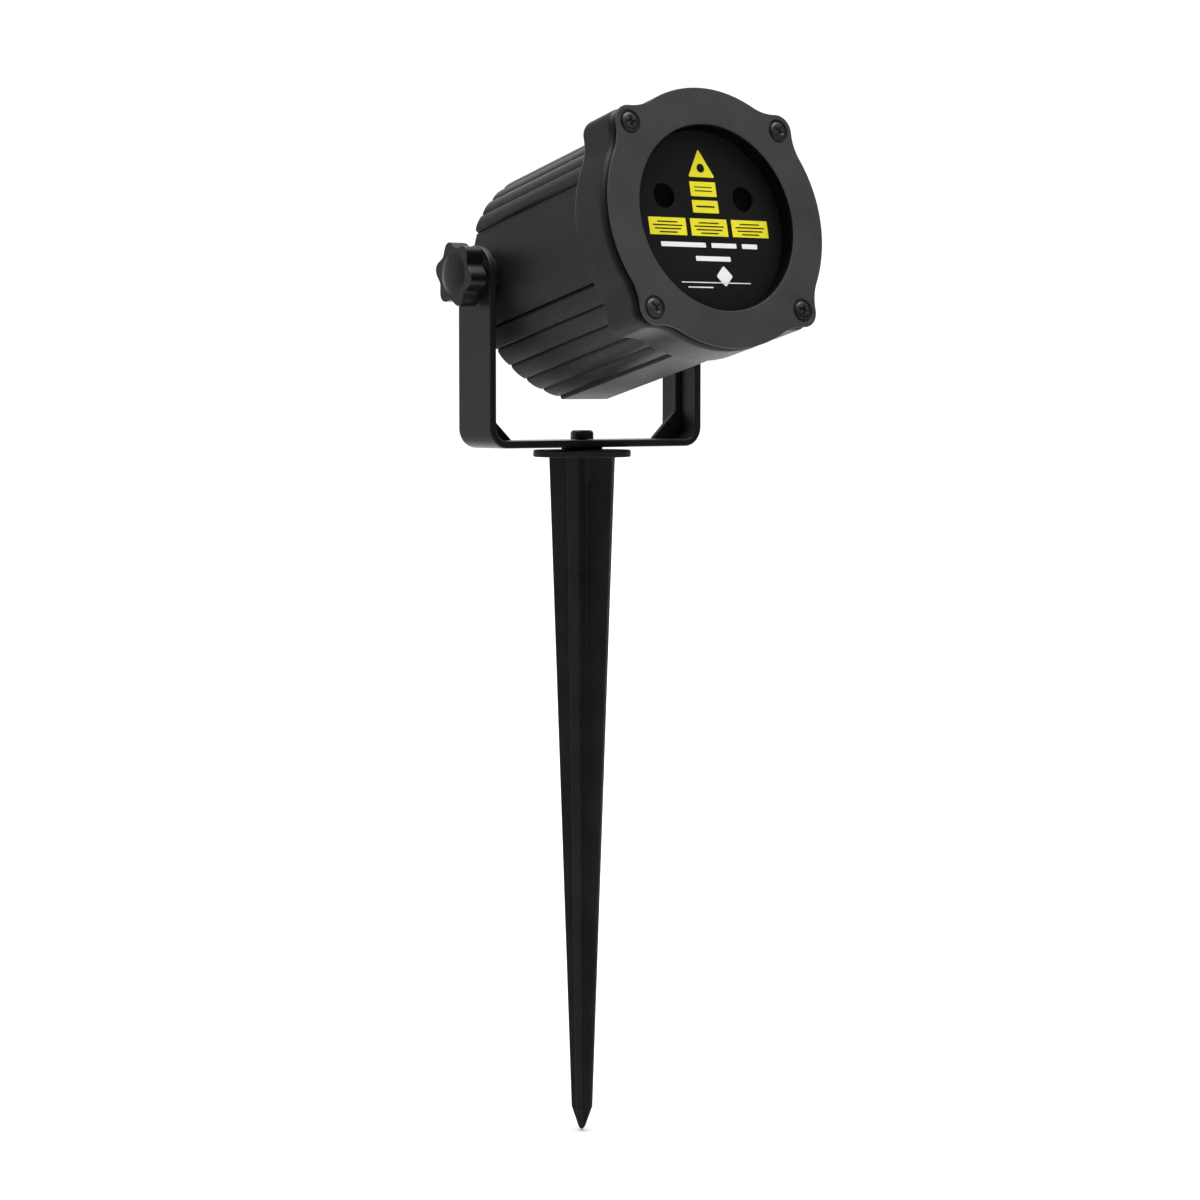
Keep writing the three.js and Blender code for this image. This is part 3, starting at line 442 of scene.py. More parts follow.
def paint_bore_shade(material, radius):
    """Painted shade: inside the given radius (mm) from the head's axis the base colour goes near black and the
    specular level drops, standing in for the shadow on the bore wall.
    """
    tree = material.node_tree
    shader = tree.nodes["Principled BSDF"]
    vector = tree.nodes.new("ShaderNodeTexCoord").outputs["Object"]
    for operation, value in (("SUBTRACT", pivot), ("CROSS_PRODUCT", forward)):
        node = tree.nodes.new("ShaderNodeVectorMath")
        node.operation = operation
        node.inputs[1].default_value = value
        tree.links.new(vector, node.inputs[0])
        vector = node.outputs["Vector"]
    length = tree.nodes.new("ShaderNodeVectorMath")
    length.operation = "LENGTH"
    tree.links.new(vector, length.inputs[0])
    distance = length.outputs["Value"]
    wall, shade_fade_end = radius * MM, (radius + 0.2) * MM
    colour = shader.inputs["Base Color"]
    gloss = shader.inputs["Specular IOR Level"]
    # painted shade: near-black colour mixed in on the bore wall, fading out over 0.2 mm
    bore_shade_mix = tree.nodes.new("ShaderNodeMix")
    bore_shade_mix.data_type = "RGBA"
    bore_shade_mix.inputs["A"].default_value = (0.003, 0.003, 0.003, 1)
    tree.links.new(colour.links[0].from_socket, bore_shade_mix.inputs["B"])
    tree.links.new(ramped(tree, distance, wall, shade_fade_end, 0, 1), bore_shade_mix.inputs["Factor"])
    tree.links.new(bore_shade_mix.outputs["Result"], colour)
    # painted shade: specular level lowered on the bore wall, so it reflects less
    tree.links.new(ramped(tree, distance, wall, shade_fade_end, 0.05, gloss.default_value), gloss)


def glass():
    material, tree, shader = new_material("window_glass")
    # painted shade: dark grey transmission colour on the window glass, so the head's inside behind it reads as
    # shadowed
    shader.inputs["Base Color"].default_value = (0.16, 0.165, 0.165, 1)
    shader.inputs["Transmission Weight"].default_value = 1
    shader.inputs["IOR"].default_value = 1.12
    tree.links.new(spread(tree, noise(tree, 160, 4), 0.015, 0.05), shader.inputs["Roughness"])
    bumped(tree, shader, noise(tree, 60, 2), 0.00001, 0.1)
    return material


# colour, its variation, roughness, specular level, grains in a metre, grain depth in metres, metallic
FINISHES = {
    "cast_black": ((0.0095, 0.0095, 0.0097), 0.18, (0.42, 0.52), 0.4, 1500, 0.00005),
    "bezel_black": ((0.038, 0.038, 0.0382), 0.15, (0.42, 0.52), 0.5, 1500, 0.00005),
    "yoke_black": ((0.0085, 0.0085, 0.0087), 0.15, (0.36, 0.46), 0.42, 1700, 0.00004),
    "knob_black": ((0.004, 0.004, 0.0042), 0.14, (0.3, 0.4), 0.42, 900, 0.00003),
    "spike_black": ((0.0165, 0.0165, 0.0175), 0.2, (0.45, 0.6), 0.07, 700, 0.00004),
    "screw_black": ((0.036, 0.036, 0.038), 0.45, (0.24, 0.36), 0.7, 2600, 0.00001, 0.4),
    "panel_black": ((0.0095, 0.0095, 0.0097), 0.1, (0.4, 0.5), 0.1, 2400, 0.00001),
    "print_yellow": ((0.86, 0.78, 0.025), 0.04, (0.45, 0.55), 0.3, 2600, 0.00001),
    "print_white": ((0.9, 0.9, 0.9), 0.03, (0.45, 0.55), 0.3, 2600, 0.00001),
    "seal_black": ((0.004, 0.004, 0.004), 0.2, (0.7, 0.85), 0.15, 1200, 0.00004),
    "steel": ((0.5, 0.5, 0.505), 0.08, (0.25, 0.36), 0.5, 3000, 0.00001, 1.0),
    "aluminium": ((0.62, 0.63, 0.64), 0.08, (0.32, 0.45), 0.5, 2500, 0.00002, 1.0),
    "brass": ((0.62, 0.42, 0.15), 0.08, (0.25, 0.38), 0.5, 2800, 0.00001, 1.0),
    "gear_white": ((0.74, 0.73, 0.68), 0.04, (0.4, 0.52), 0.4, 1200, 0.00002),
    "board_green": ((0.014, 0.1, 0.035), 0.2, (0.3, 0.45), 0.5, 900, 0.00003),
    "component_black": ((0.014, 0.014, 0.015), 0.2, (0.4, 0.55), 0.4, 1400, 0.00003),
    "capacitor_blue": ((0.02, 0.04, 0.13), 0.12, (0.25, 0.35), 0.5, 1000, 0.00002),
}
LOOKS = {name: grained(name, *finish) for name, finish in FINISHES.items()}
LOOKS["glass_clear"] = glass()
# painted shade on the bezel's bore wall, inside the window
paint_bore_shade(LOOKS["bezel_black"], WINDOW_RADIUS + 0.45)

# ---------------------------------------------------------------- ground spike


def cross_section(half_width, half_thickness, height, edge=0.7, root=1.2):
    """Ring of the cross at one height, its outer corners and inner corners rounded."""
    arms = []
    for quarter in range(4):
        for x, y, radius in (
            (half_thickness, half_thickness, root),
            (half_width, half_thickness, edge),
            (half_width, -half_thickness, edge),
        ):
            turn = Matrix.Rotation(math.radians(-90 * quarter), 2)
            arms.append((*(turn @ Vector((x, y))), min(radius, half_thickness * 0.8)))
    turn = Matrix.Rotation(math.radians(FIN_TURN), 2)
    return [(*(turn @ Vector(point)), height) for point in soft(arms, 3)]


def make_spike():
    rings = []
    steps = 12
    for step in range(steps + 1):
        share = step / steps
        half_width = (FIN_WIDTH[0] + (FIN_WIDTH[1] - FIN_WIDTH[0]) * share) / 2
        half_thickness = (FIN_THICKNESS[0] + (FIN_THICKNESS[1] - FIN_THICKNESS[0]) * share) / 2
        height = DISC_THICKNESS * 0.4 * (1 - share) + SHOULDER * share
        rings.append(cross_section(half_width, half_thickness, height))
    tip_shares = (
        (0.06, 0.93, 0.97), (0.35, 0.71, 0.9), (0.7, 0.43, 0.76),
        (0.88, 0.28, 0.66), (0.96, 0.17, 0.45), (1, 0.07, 0.2),
    )
    for share, width, thickness in tip_shares:
        height = SHOULDER + (TIP - SHOULDER) * share
        rings.append(cross_section(FIN_WIDTH[1] / 2 * width, FIN_THICKNESS[1] / 2 * thickness, height))
    blades = loft(rings, capped=True)
    disc = turned(soft([
        (0, 0), (DISC_RADIUS, 0, 0.6), (DISC_RADIUS, DISC_THICKNESS, 0.7), (0, DISC_THICKNESS),
    ]), 128)
    boss = turned(soft([
        (0, -BOSS_LENGTH), (BOSS_RADIUS - 1.5, -BOSS_LENGTH, 0.3), (BOSS_RADIUS, -BOSS_LENGTH + 2.2, 0.5),
        (BOSS_RADIUS, 1), (0, 1),
    ]), 64)
    pocket = rod(4, -6.2, DISC_THICKNESS + 1)
    bolt_well = rod(BOLT_HOLE_RADIUS, -BOSS_LENGTH + 1.5, 0)
    spike = cut(join(disc, boss, blades), pocket, bolt_well)
    finished("ground_spike", spike, UPRIGHT, "stake", "spike_black", ["spike"])


def make_pan_bolt():
    low = BAR_LOW + STRAP + 0.2
    radius = PAN_HEAD_RADIUS
    top = low + PAN_HEAD_HEIGHT
    head = turned(soft([
        (0, -8.5), (2.5, -8.5, 0.5), (2.5, low), (radius, low, 0.25), (radius, top, 1.5), (0, top),
    ], 6), 96)
    key = pushed(hexagon(HEX_KEY / 2), top - 2, top + 1)
    finished("pan_bolt_cap", cut(head, key), UPRIGHT, "stake", "screw_black", ["pan_bolt"])


# ---------------------------------------------------------------- yoke


def strap_path():
    """Middle line of the U as (x, z, direction, distance to the arm's end), from left end to right end."""
    middle = STRAP / 2
    end = PIVOT_HEIGHT + YOKE_DEPTH / 2
    bend = CORNER_RADIUS - middle
    x = ARM - middle
    low = BAR_LOW + middle
    top = end - YOKE_DEPTH / 2
    path = []
    for angle in range(0, 91, 6):
        depth = YOKE_DEPTH / 2 * (1 - math.cos(math.radians(angle)))
        path.append((-x, end - depth, -90, depth))
    for share in range(1, 8):
        path.append((-x, top + (low + bend - top) * share / 8, -90, YOKE_DEPTH))
    for step in range(13):
        angle = 180 + 90 * step / 12
        dx, dz = polar(bend, angle)
        path.append((-x + bend + dx, low + bend + dz, angle - 270, YOKE_DEPTH))
    path.extend(((bend - x) * (1 - share / 6), low, 0, YOKE_DEPTH) for share in range(1, 6))
    mirrored = [(-px, pz, -turn, depth) for px, pz, turn, depth in reversed(path)]
    return path + [(0, low, 0, YOKE_DEPTH)] + mirrored


def strap_ring(x, z, turn, depth, edge=0.75):
    """Rounded rectangle across the strap. Near an arm's end it narrows to the rounded end."""
    radius = YOKE_DEPTH / 2
    half_width = radius if depth >= radius else math.sqrt(max(0, radius ** 2 - (radius - depth) ** 2))
    half_width = max(half_width, 0.02)
    half = STRAP / 2
    inset = max(0, edge - depth)
    slim = half - edge + math.sqrt(max(0, edge ** 2 - inset ** 2))
    flat = [(half_width, -slim), (half_width, slim), (-half_width, slim), (-half_width, -slim)]
    radius_here = min(edge, half_width * 0.9, slim * 0.9)
    section = soft([(*corner, radius_here) for corner in flat], 4)
    normal = polar(1, turn + 90)
    return [(x + normal[0] * t, w, z + normal[1] * t) for w, t in section]


def arm_rib(side):
    """Rib along the inside of an arm, which widens into the gusset in the corner."""
    root = ARM - STRAP / 2
    face = ARM - STRAP - RIB
    floor = BAR_LOW + STRAP
    toe = ARM - STRAP - GUSSET - RIB
    bend = CORNER_RADIUS - STRAP / 2
    corner = []
    for angle in (0, -30, -60, -90):
        dx, dz = polar(bend, angle)
        corner.append((ARM - CORNER_RADIUS + dx, BAR_LOW + CORNER_RADIUS + dz))
    outline = corner + [
        (toe, floor - STRAP / 2), (toe, floor + 0.4, 1.2),
        (face, floor + GUSSET, 1.5), (face, RIB_TOP - RIB, 1.5), (root, RIB_TOP + STRAP / 2),
    ]
    rib = pushed(soft(outline, 4), -RIB / 2, RIB / 2)
    rounded(rib, 0.5, 3)
    rotated(rib, 90, "X")
    if side < 0:
        rotated(rib, 180, "Z")
    return rib


def make_yoke():
    strap = loft([strap_ring(*station) for station in strap_path()], capped=True)
    pivot_hole = shifted(rotated(rod(STUD_RADIUS + 0.4, -80, 80), 90, "Y"), 0, 0, PIVOT_HEIGHT)
    yoke = cut(join(strap, arm_rib(-1), arm_rib(1)), pivot_hole, rod(BOLT_HOLE_RADIUS, 0, 12))
    finished("tilt_yoke", yoke, UPRIGHT, "yoke", "yoke_black", ["yoke"])


# ---------------------------------------------------------------- knobs


def star_ring(inset, height, count=144):
    """Ring of the star at one height, drawn in by inset."""
    mean = (KNOB_RADIUS + KNOB_VALLEY) / 2
    swing = (KNOB_RADIUS - KNOB_VALLEY) / 2
    ring = []
    for i in range(count):
        turn = 360 * i / count
        wave = math.cos(math.radians(turn * KNOB_LOBES))
        ring.append((*polar(mean + swing * wave - inset, turn - KNOB_TURN), height))
    return ring


def circle_ring(radius, height, count=144):
    return [(*polar(radius, 360 * i / count - KNOB_TURN), height) for i in range(count)]


def make_knob(side):
    back = KNOB_FACE - KNOB_THICKNESS
    neck = ARM + SLIP + WASHER + SLIP
    rings = [
        [(0, 0, KNOB_FACE - 1)],
        circle_ring(STUD_RADIUS + GAP, KNOB_FACE - 1),
        circle_ring(STUD_RADIUS + GAP, neck),
        circle_ring(NECK_RADIUS - 0.4, neck),
        circle_ring(NECK_RADIUS, neck + 0.4),
        circle_ring(NECK_RADIUS, back - 0.5),
        circle_ring(NECK_RADIUS + 0.5, back),
    ]
    for angle in (0, 30, 60, 90):
        inset, rise = quarter_round(KNOB_BACK_EDGE, 90 - angle)
        rings.append(star_ring(inset, back + rise))
    for angle in (0, 18, 36, 54, 72, 90):
        inset, fall = quarter_round(KNOB_EDGE, angle)
        rings.append(star_ring(inset, KNOB_FACE - fall))
    rings.append(circle_ring(CAP_RADIUS + 0.3, KNOB_FACE))
    rings.append(circle_ring(CAP_RADIUS, KNOB_FACE + 0.1))
    for share in (0.97, 0.92, 0.85, 0.77, 0.68, 0.58, 0.47, 0.35, 0.22, 0.1):
        rings.append(circle_ring(CAP_RADIUS * share, KNOB_FACE + CAP_RISE * (1 - share ** 2.4)))
    rings.append([(0, 0, KNOB_FACE + CAP_RISE)])
    name = "left" if side < 0 else "right"
    matrix = LEFT_CLAMP if side < 0 else RIGHT_CLAMP
    knob = loft(rings)
    cad_knob = f"{name}_knob"
    finished(f"{name}_star_knob", knob, matrix, cad_knob, "knob_black", [cad_knob])


# ---------------------------------------------------------------- head outlines


def ear_parts(inset):
    """Radii and joint angles, in degrees from a diagonal, of the eared outline drawn in by inset."""
    circle = FACE_RADIUS - inset
    ear = EAR_RADIUS - inset
    fillet = EAR_FILLET + inset
    distance = EAR_CENTRE * math.sqrt(2)
    reach = circle + fillet
    spread_cosine = (distance ** 2 + reach ** 2 - (ear + fillet) ** 2) / (2 * distance * reach)
    turn = math.degrees(math.acos(spread_cosine))
    away = Vector(polar(reach, turn)) - Vector((distance, 0))
    touch = Vector((distance, 0)) + away.normalized() * ear
    return circle, ear, fillet, distance, reach, turn, math.degrees(math.atan2(touch.y, touch.x))


def ear_radius(angle, inset=0.0):
    """Distance from the axis to the eared outline, drawn in by inset."""
    circle, ear, fillet, distance, reach, turn, touch = ear_parts(inset)
    off = abs(angle % 90 - 45)
    if off >= turn:
        return circle
    if off > touch:
        lean = math.radians(turn - off)
        return reach * math.cos(lean) - math.sqrt(fillet ** 2 - (reach * math.sin(lean)) ** 2)
    lean = math.radians(off)
    return distance * math.cos(lean) + math.sqrt(ear ** 2 - (distance * math.sin(lean)) ** 2)


def pad_angle(distance):
    """Angle, from the side, of the corner of a flat pad this far from the axis."""
    return math.degrees(math.atan2(distance, PAD_HALF_WIDTH))


def rib_pitch(distance):
    return (pad_angle(distance) - PANEL_HALF_ANGLE) / (RIBS_PER_QUADRANT + GROOVE_SHARE)


def barrel_radius(angle):
    """Section of the barrel: smooth side panels, five flat ribs in each quarter, flat pads."""
    off = abs((angle + 90) % 180 - 90)
    upper = angle % 360 <= 180
    distance = PAD_DISTANCE_TOP if upper else PAD_DISTANCE_BOTTOM
    if off <= PANEL_HALF_ANGLE:
        return PANEL_RADIUS
    if off >= pad_angle(distance):
        return distance / math.sin(math.radians(off))
    ribs = (off - PANEL_HALF_ANGLE) / rib_pitch(distance)
    top = BARREL_RADIUS + LOWER_SWELL * min(1, ribs)
    if upper:
        top = BARREL_RADIUS - UPPER_FALL * min(1, ribs / RIBS_PER_QUADRANT)
    half = GROOVE_SHARE / 2
    groove = round(ribs - half)
    away = ribs - half - groove
    if abs(away) >= half:
        land = (0.5 - abs(away)) / (0.5 - half)
        return top - RIB_CROWN * land ** 2
    brink = top - RIB_CROWN
    bottom = top - GROOVE_DEPTH
    if groove == 0:
        bottom = PANEL_RADIUS - PANEL_GROOVE
        brink = PANEL_RADIUS if away < 0 else brink
    elif groove == RIBS_PER_QUADRANT and away > 0:
        brink = math.hypot(distance, PAD_HALF_WIDTH)
    return bottom + (brink - bottom) * math.sin(abs(away) / half * math.pi / 2)


def quarter_angles(distance):
    """Angles of every corner in a quarter of both outlines, filled in so that no step is long."""
    pitch = rib_pitch(distance)
    corner = pad_angle(distance)
    stops = {0.0, 45.0, 90.0, PANEL_HALF_ANGLE, corner}
    turn, touch = ear_parts(0)[-2:]
    stops.update(45 + side * angle for side in (-1, 1) for angle in (turn, touch))
    half = pitch * GROOVE_SHARE / 2
    for groove in range(RIBS_PER_QUADRANT + 1):
        centre = PANEL_HALF_ANGLE + half + groove * pitch
        stops.update(centre + half * step / 5 for step in range(-5, 6))
    ordered = sorted(stops)
    filled = [ordered[0]]
    for stop in ordered[1:]:
        gap = stop - filled[-1]
        if gap < 0.04:
            continue
        parts = math.ceil(gap / 1.3)
        start = filled[-1]
        filled.extend(start + gap * part / parts for part in range(1, parts + 1))
    return filled


def head_angles():
    """Angles all round, from the right side over the top."""
    upper = quarter_angles(PAD_DISTANCE_TOP)
    lower = quarter_angles(PAD_DISTANCE_BOTTOM)
    angles = upper + [180 - angle for angle in reversed(upper[:-1])]
    angles += [180 + angle for angle in lower[1:]]
    return angles + [360 - angle for angle in reversed(lower[1:-1])]


ANGLES = head_angles()


def ring_of(radius_at, station):
    return [(*polar(radius_at(angle), angle), station) for angle in ANGLES]


def round_ring(radius, station):
    return ring_of(lambda angle: radius, station)


# ---------------------------------------------------------------- head castings


def at_ears():
    """Places of the four front screws."""
    return [(x * EAR_CENTRE, y * EAR_CENTRE) for x, y in ((1, 1), (-1, 1), (-1, -1), (1, -1))]


def around(radius, start=45):
    """Four places round the axis."""
    return [polar(radius, start + 90 * k) for k in range(4)]


def make_housing():
    rim = 0.7
    bore = PANEL_RADIUS - WALL
    rings = [
        ring_of(lambda a: barrel_radius(a) - rim, REAR_RIM),
        ring_of(lambda a: barrel_radius(a) - rim * 0.3, REAR_RIM + rim * 0.3),
        ring_of(barrel_radius, REAR_RIM + rim),
    ]
    for share in range(1, 6):
        rings.append(ring_of(barrel_radius, REAR_RIM + (FLANGE_BACK - 0.6 - REAR_RIM) * share / 5))
    for angle in range(90, -1, -15):
        inset, setback = quarter_round(FLANGE_EDGE, angle)
        rings.append(ring_of(lambda a: max(barrel_radius(a), ear_radius(a, inset)), FLANGE_BACK + setback))
    for angle in range(0, 91, 15):
        inset, setback = quarter_round(FLANGE_EDGE, angle)
        rings.append(ring_of(lambda a: ear_radius(a, inset), FLANGE_FRONT - setback))
    shoulder_front, shoulder_back = SHOULDER_STATIONS
    bore_front, bore_back = BORE_STATIONS
    inside = (
        (PANEL_BORE, FLANGE_FRONT), (PANEL_BORE, shoulder_front),
        (SHOULDER_BORE, shoulder_front), (SHOULDER_BORE, shoulder_back),
        (bore, bore_front), (bore, bore_back),
        (COVER_RADIUS - 2.6, bore_back), (COVER_RADIUS - 2.6, COVER_LEDGE),
        (COVER_RADIUS + GAP, COVER_LEDGE), (COVER_RADIUS + GAP, REAR_RIM + 0.4),
        (COVER_RADIUS + GAP + 0.4, REAR_RIM),
    )
    rings.extend(round_ring(radius, station) for radius, station in inside)
    shell = loft(rings, closed=True)
    pads = []
    for side in (-1, 1):
        pad = turned(soft([
            (0, 47.5), (PIVOT_PAD_RADIUS, 47.5), (PIVOT_PAD_RADIUS, PIVOT_PAD_FACE, 0.5), (0, PIVOT_PAD_FACE),
        ]), 72)
        pads.append(rotated(pad, side * 90, "Y"))
        pads.append(rotated(rod(STUD_RADIUS + 1.7, 41.1, 49), side * 90, "Y"))
    for x, y in around(CARRIER_SCREW_RADIUS, 0):
        pads.append(shifted(rod(5, 58, 80), x, y))
    for x, y in around(REAR_SCREW_RADIUS):
        pads.append(shifted(rod(5.5, COVER_LEDGE + 0.5, 8), x, y))
    holes = [rotated(rod(STUD_RADIUS + GAP, 43.3, 53), side * 90, "Y") for side in (-1, 1)]
    holes += [shifted(rod(1.5, COVER_LEDGE - 1, 6, 32), x, y) for x, y in around(REAR_SCREW_RADIUS)]
    holes += [shifted(rod(1.5, 57, 67, 32), x, y) for x, y in around(CARRIER_SCREW_RADIUS, 0)]
    holes += [shifted(rod(1.8, 82, FLANGE_FRONT + 1, 32), x, y) for x, y in at_ears()]
    housing = cut(join(shell, *pads), *holes)
    finished("finned_housing", housing, HEAD, "head", "cast_black", ["housing"], crease=28)


def make_bezel():
    rings = [
        ring_of(lambda a: ear_radius(a, 1.6), BEZEL_BACK),
        ring_of(lambda a: ear_radius(a, 0.7), BEZEL_BACK + 0.5),
        ring_of(lambda a: ear_radius(a, 0.25), BEZEL_BACK + 0.95),
        ring_of(ear_radius, FACE_STATION - BEZEL_EDGE - 0.25),
    ]
    for angle in range(0, 91, 15):
        inset, setback = quarter_round(BEZEL_EDGE, angle)
        rings.append(ring_of(lambda a: ear_radius(a, inset), FACE_STATION - setback))
    inside = (
        (WINDOW_RADIUS + 1.1, FACE_STATION), (WINDOW_RADIUS + 0.55, FACE_STATION - 0.15),
        (WINDOW_RADIUS + 0.15, FACE_STATION - 0.5), (WINDOW_RADIUS, FACE_STATION - 1),
        (WINDOW_RADIUS, MASK_STATION + GAP), (PANEL_BORE - GAP, MASK_STATION + GAP),
        (PANEL_BORE - GAP, BEZEL_BACK),
    )
    rings.extend(round_ring(radius, station) for radius, station in inside)
    plate = loft(rings, closed=True)
    cutters = []
    floor = FACE_STATION - SCREW_RECESS
    radius = SCREW_WELL_RADIUS
    for x, y in at_ears():
        well = turned([
            (0, floor), (radius, floor), (radius, FACE_STATION - 0.3), (radius + 0.08, FACE_STATION - 0.1),
            (radius + 0.3, FACE_STATION), (radius + 0.7, FACE_STATION + 0.4), (0, FACE_STATION + 0.4),
        ], 64)
        cutters.append(shifted(well, x, y))
        cutters.append(shifted(rod(2, BEZEL_BACK - 1, FACE_STATION, 32), x, y))
    bezel = cut(plate, *cutters)
    finished("front_ring", bezel, HEAD, "head", "bezel_black", ["front_bezel"], crease=28)


def make_mask():
    back = MASK_STATION - MASK_THICKNESS
    radius = PANEL_BORE - GAP
    disc = turned(soft([
        (0, back), (radius, back, 0.15), (radius, MASK_STATION, 0.2), (0, MASK_STATION),
    ]), 144)
    holes = []
    for side in (-1, 1):
        hole = turned([
            (0, back - 1), (APERTURE_RADIUS, back - 1), (APERTURE_RADIUS, MASK_STATION - 0.25),
            (APERTURE_RADIUS + 0.35, MASK_STATION + 0.1), (0, MASK_STATION + 0.1),
        ], 96)
        holes.append(shifted(hole, side * APERTURE_X, APERTURE_Y))
    finished("front_mask", cut(disc, *holes), HEAD, "head", "panel_black", ["mask_panel"])


def phillips_screw(radius, height, shank, length):
    """Pan-head screw with a cross recess, its head's underside at the origin."""
    head = turned(soft([
        (0, -length), (shank, -length, 0.3), (shank, 0), (radius, 0, 0.2),
        (radius, height * 0.62, height * 0.3), (radius * 0.72, height, radius * 0.5), (0, height),
    ], 6), 64)
    reach = radius * 0.66
    width = radius * 0.15
    brim = [(-reach, -width), (reach, -width), (reach, width), (-reach, width)]
    wings = []
    for turn in (0, 90):
        wing = loft([
            [(x * 0.45, y * 0.7, height * 0.3) for x, y in brim],
            [(x, y, height * 0.98) for x, y in brim],
            [(x, y, height + 1) for x, y in brim],
        ], capped=True)
        wings.append(rotated(wing, turn, "Z"))
    middle = turned([
        (0, height * 0.25), (width * 1.2, height * 0.3), (width * 2.1, height + 1), (0, height + 1),
    ], 4)
    return cut(head, *wings, rotated(middle, 45, "Z"))


def make_screws():
    seat = FACE_STATION - SCREW_RECESS + 0.2
    for number, (x, y) in enumerate(at_ears(), 1):
        screw = rotated(phillips_screw(3.9, 1.5, 1.5, 13), 20 + 35 * number, "Z")
        name = f"front_screw_{number}"
        finished(f"{name}_head", shifted(screw, x, y, seat), HEAD, "head", "screw_black", [name])
    for number, (x, y) in enumerate(around(REAR_SCREW_RADIUS), 1):
        screw = rotated(phillips_screw(2.8, 1.8, 1.25, 9), 25 * number, "Z")
        rotated(screw, 180, "X")
        name = f"rear_screw_{number}"
        place = shifted(screw, x, y, COVER_BACK - 0.2)
        finished(f"{name}_head", place, HEAD, "head", "screw_black", [name])


def make_rear_cover():
    front = COVER_BACK + 2.7
    profile = soft([
        (0, COVER_BACK + 0.9), (31, COVER_BACK + 0.9, 0.8), (32.2, COVER_BACK, 0.8),
        (COVER_RADIUS, COVER_BACK, 0.9), (COVER_RADIUS, front, 0.2), (0, front),
    ], 4)
    cover = turned(profile, 144)
    holes = [shifted(rod(6.4, COVER_BACK - 1, front + 1, 64), 0, -GLAND_DROP)]
    for x, y in around(REAR_SCREW_RADIUS):
        holes.append(shifted(rod(1.9, COVER_BACK - 1, front + 1, 32), x, y))
    finished("rear_cap", cut(cover, *holes), HEAD, "head", "cast_black", ["rear_cover"])


def make_gland():
    out = HEAD @ Matrix.Translation((0, -GLAND_DROP, COVER_BACK)) @ Matrix.Rotation(math.pi, 4, "X")
    flats = rounded(pushed(hexagon(8), 0.2, 5), 0.4, 3)
    crown = turned([(0, -1), (8.2, -1), (9.3, 1.2), (9.3, 3.9), (8.4, 5.4), (0, 5.4)], 72)
    flats = combined(flats, [crown], "INTERSECT")
    body = cut(join(flats, rod(6.1, -8.5, 12)), rod(4.6, -10, 13))
    finished("gland_base", body, out, "head", "component_black", ["gland_body"])
    shell = turned(soft([
        (0, 5.3), (8.2, 5.3, 0.4), (8.2, 12.5, 2), (7.4, 15.4, 2), (6.2, 17.2, 0.8), (0, 17.2),
    ], 5), 96)
    grips = []
    for k in range(12):
        grip = turned(soft([(0, 5.5), (0.75, 5.5, 0.3), (0.75, 12, 0.5), (0, 12)], 3), 16)
        grips.append(shifted(grip, *polar(8.0, 30 * k)))
    bore = turned([(0, 5), (6.4, 5), (6.4, 13), (4.9, 15.4), (4.9, 18), (0, 18)], 72)
    nut = cut(join(shell, *grips), bore)
    finished("gland_cap", nut, out, "head", "component_black", ["gland_nut"])


# ---------------------------------------------------------------- print on the front panel


INK = 0.12
LINE_INK = 0.08  # dark lines over the blocks


def block(points):
    return pushed(points, MASK_STATION, MASK_STATION + INK)


def line(points):
    """Printed over a block."""
    return pushed(points, MASK_STATION + INK, MASK_STATION + INK + LINE_INK)


def bar(start, end, low, high):
    return soft([(start, low, 0.25), (end, low, 0.25), (end, high, 0.25), (start, high, 0.25)], 2)


def make_print():
    yellow = [block(soft([(-6.8, 19, 0.4), (6.8, 19, 0.4), (0, 30.9, 0.4)], 2))]
    yellow.append(block(bar(-6.7, 6.7, 10.8, 17)))
    yellow.append(block(bar(-6.7, 6.7, 3.8, 9.1)))
    dark = [shifted(line([polar(1.9, 15 * i) for i in range(24)]), 0, 22.8)]
    dark.append(line(bar(-4.6, 4.6, 12.9, 13.3)))
    dark.append(line(bar(-4.6, 4.6, 14.5, 14.9)))
    dark.append(line(bar(-4.8, 4.8, 6.1, 6.8)))
    for centre in (-20.9, 0.5, 21.9):
        yellow.append(block(bar(centre - 9.5, centre + 9.5, -6, 1.3)))
        for k, half in enumerate((5.2, 7.6, 6.8, 4.6)):
            low = -0.75 - 1.45 * k
            dark.append(line(bar(centre - half, centre + half, low, low + 0.5)))
    white = [block(bar(start, end, -10.9, -8.9)) for start, end in ((-25.5, -2.5), (0.5, 13.5), (16.5, 24.5))]
    white.append(block(bar(-8.5, 9.5, -16.6, -14.6)))
    white.append(block(bar(-17.5, 18.5, -25.9, -25.5)))
    white.append(block(bar(-14.5, -1.5, -28, -27.5)))
    white.append(block(soft([(5.2, -27.4, 0.6), (9.4, -22.9, 0.6), (5.2, -18.4, 0.6), (1, -22.9, 0.6)], 2)))
    finished("label_blocks", merged(*yellow), HEAD, "head", "print_yellow")
    finished("label_lines", merged(*dark), HEAD, "head", "panel_black")
    finished("caption_dashes", merged(*white), HEAD, "head", "print_white")


# ---------------------------------------------------------------- CAD nodes that stay


def dress_cad_nodes():
    for row in frame["record"]["subparts"]:
        node = nodes[row["node"]]
        node.data.materials.clear()
        node.data.materials.append(LOOKS[row["material_slot"]])


# ---------------------------------------------------------------- stage, light and camera


FLOOR_ANGLES = [360 * i / 96 for i in range(96)]

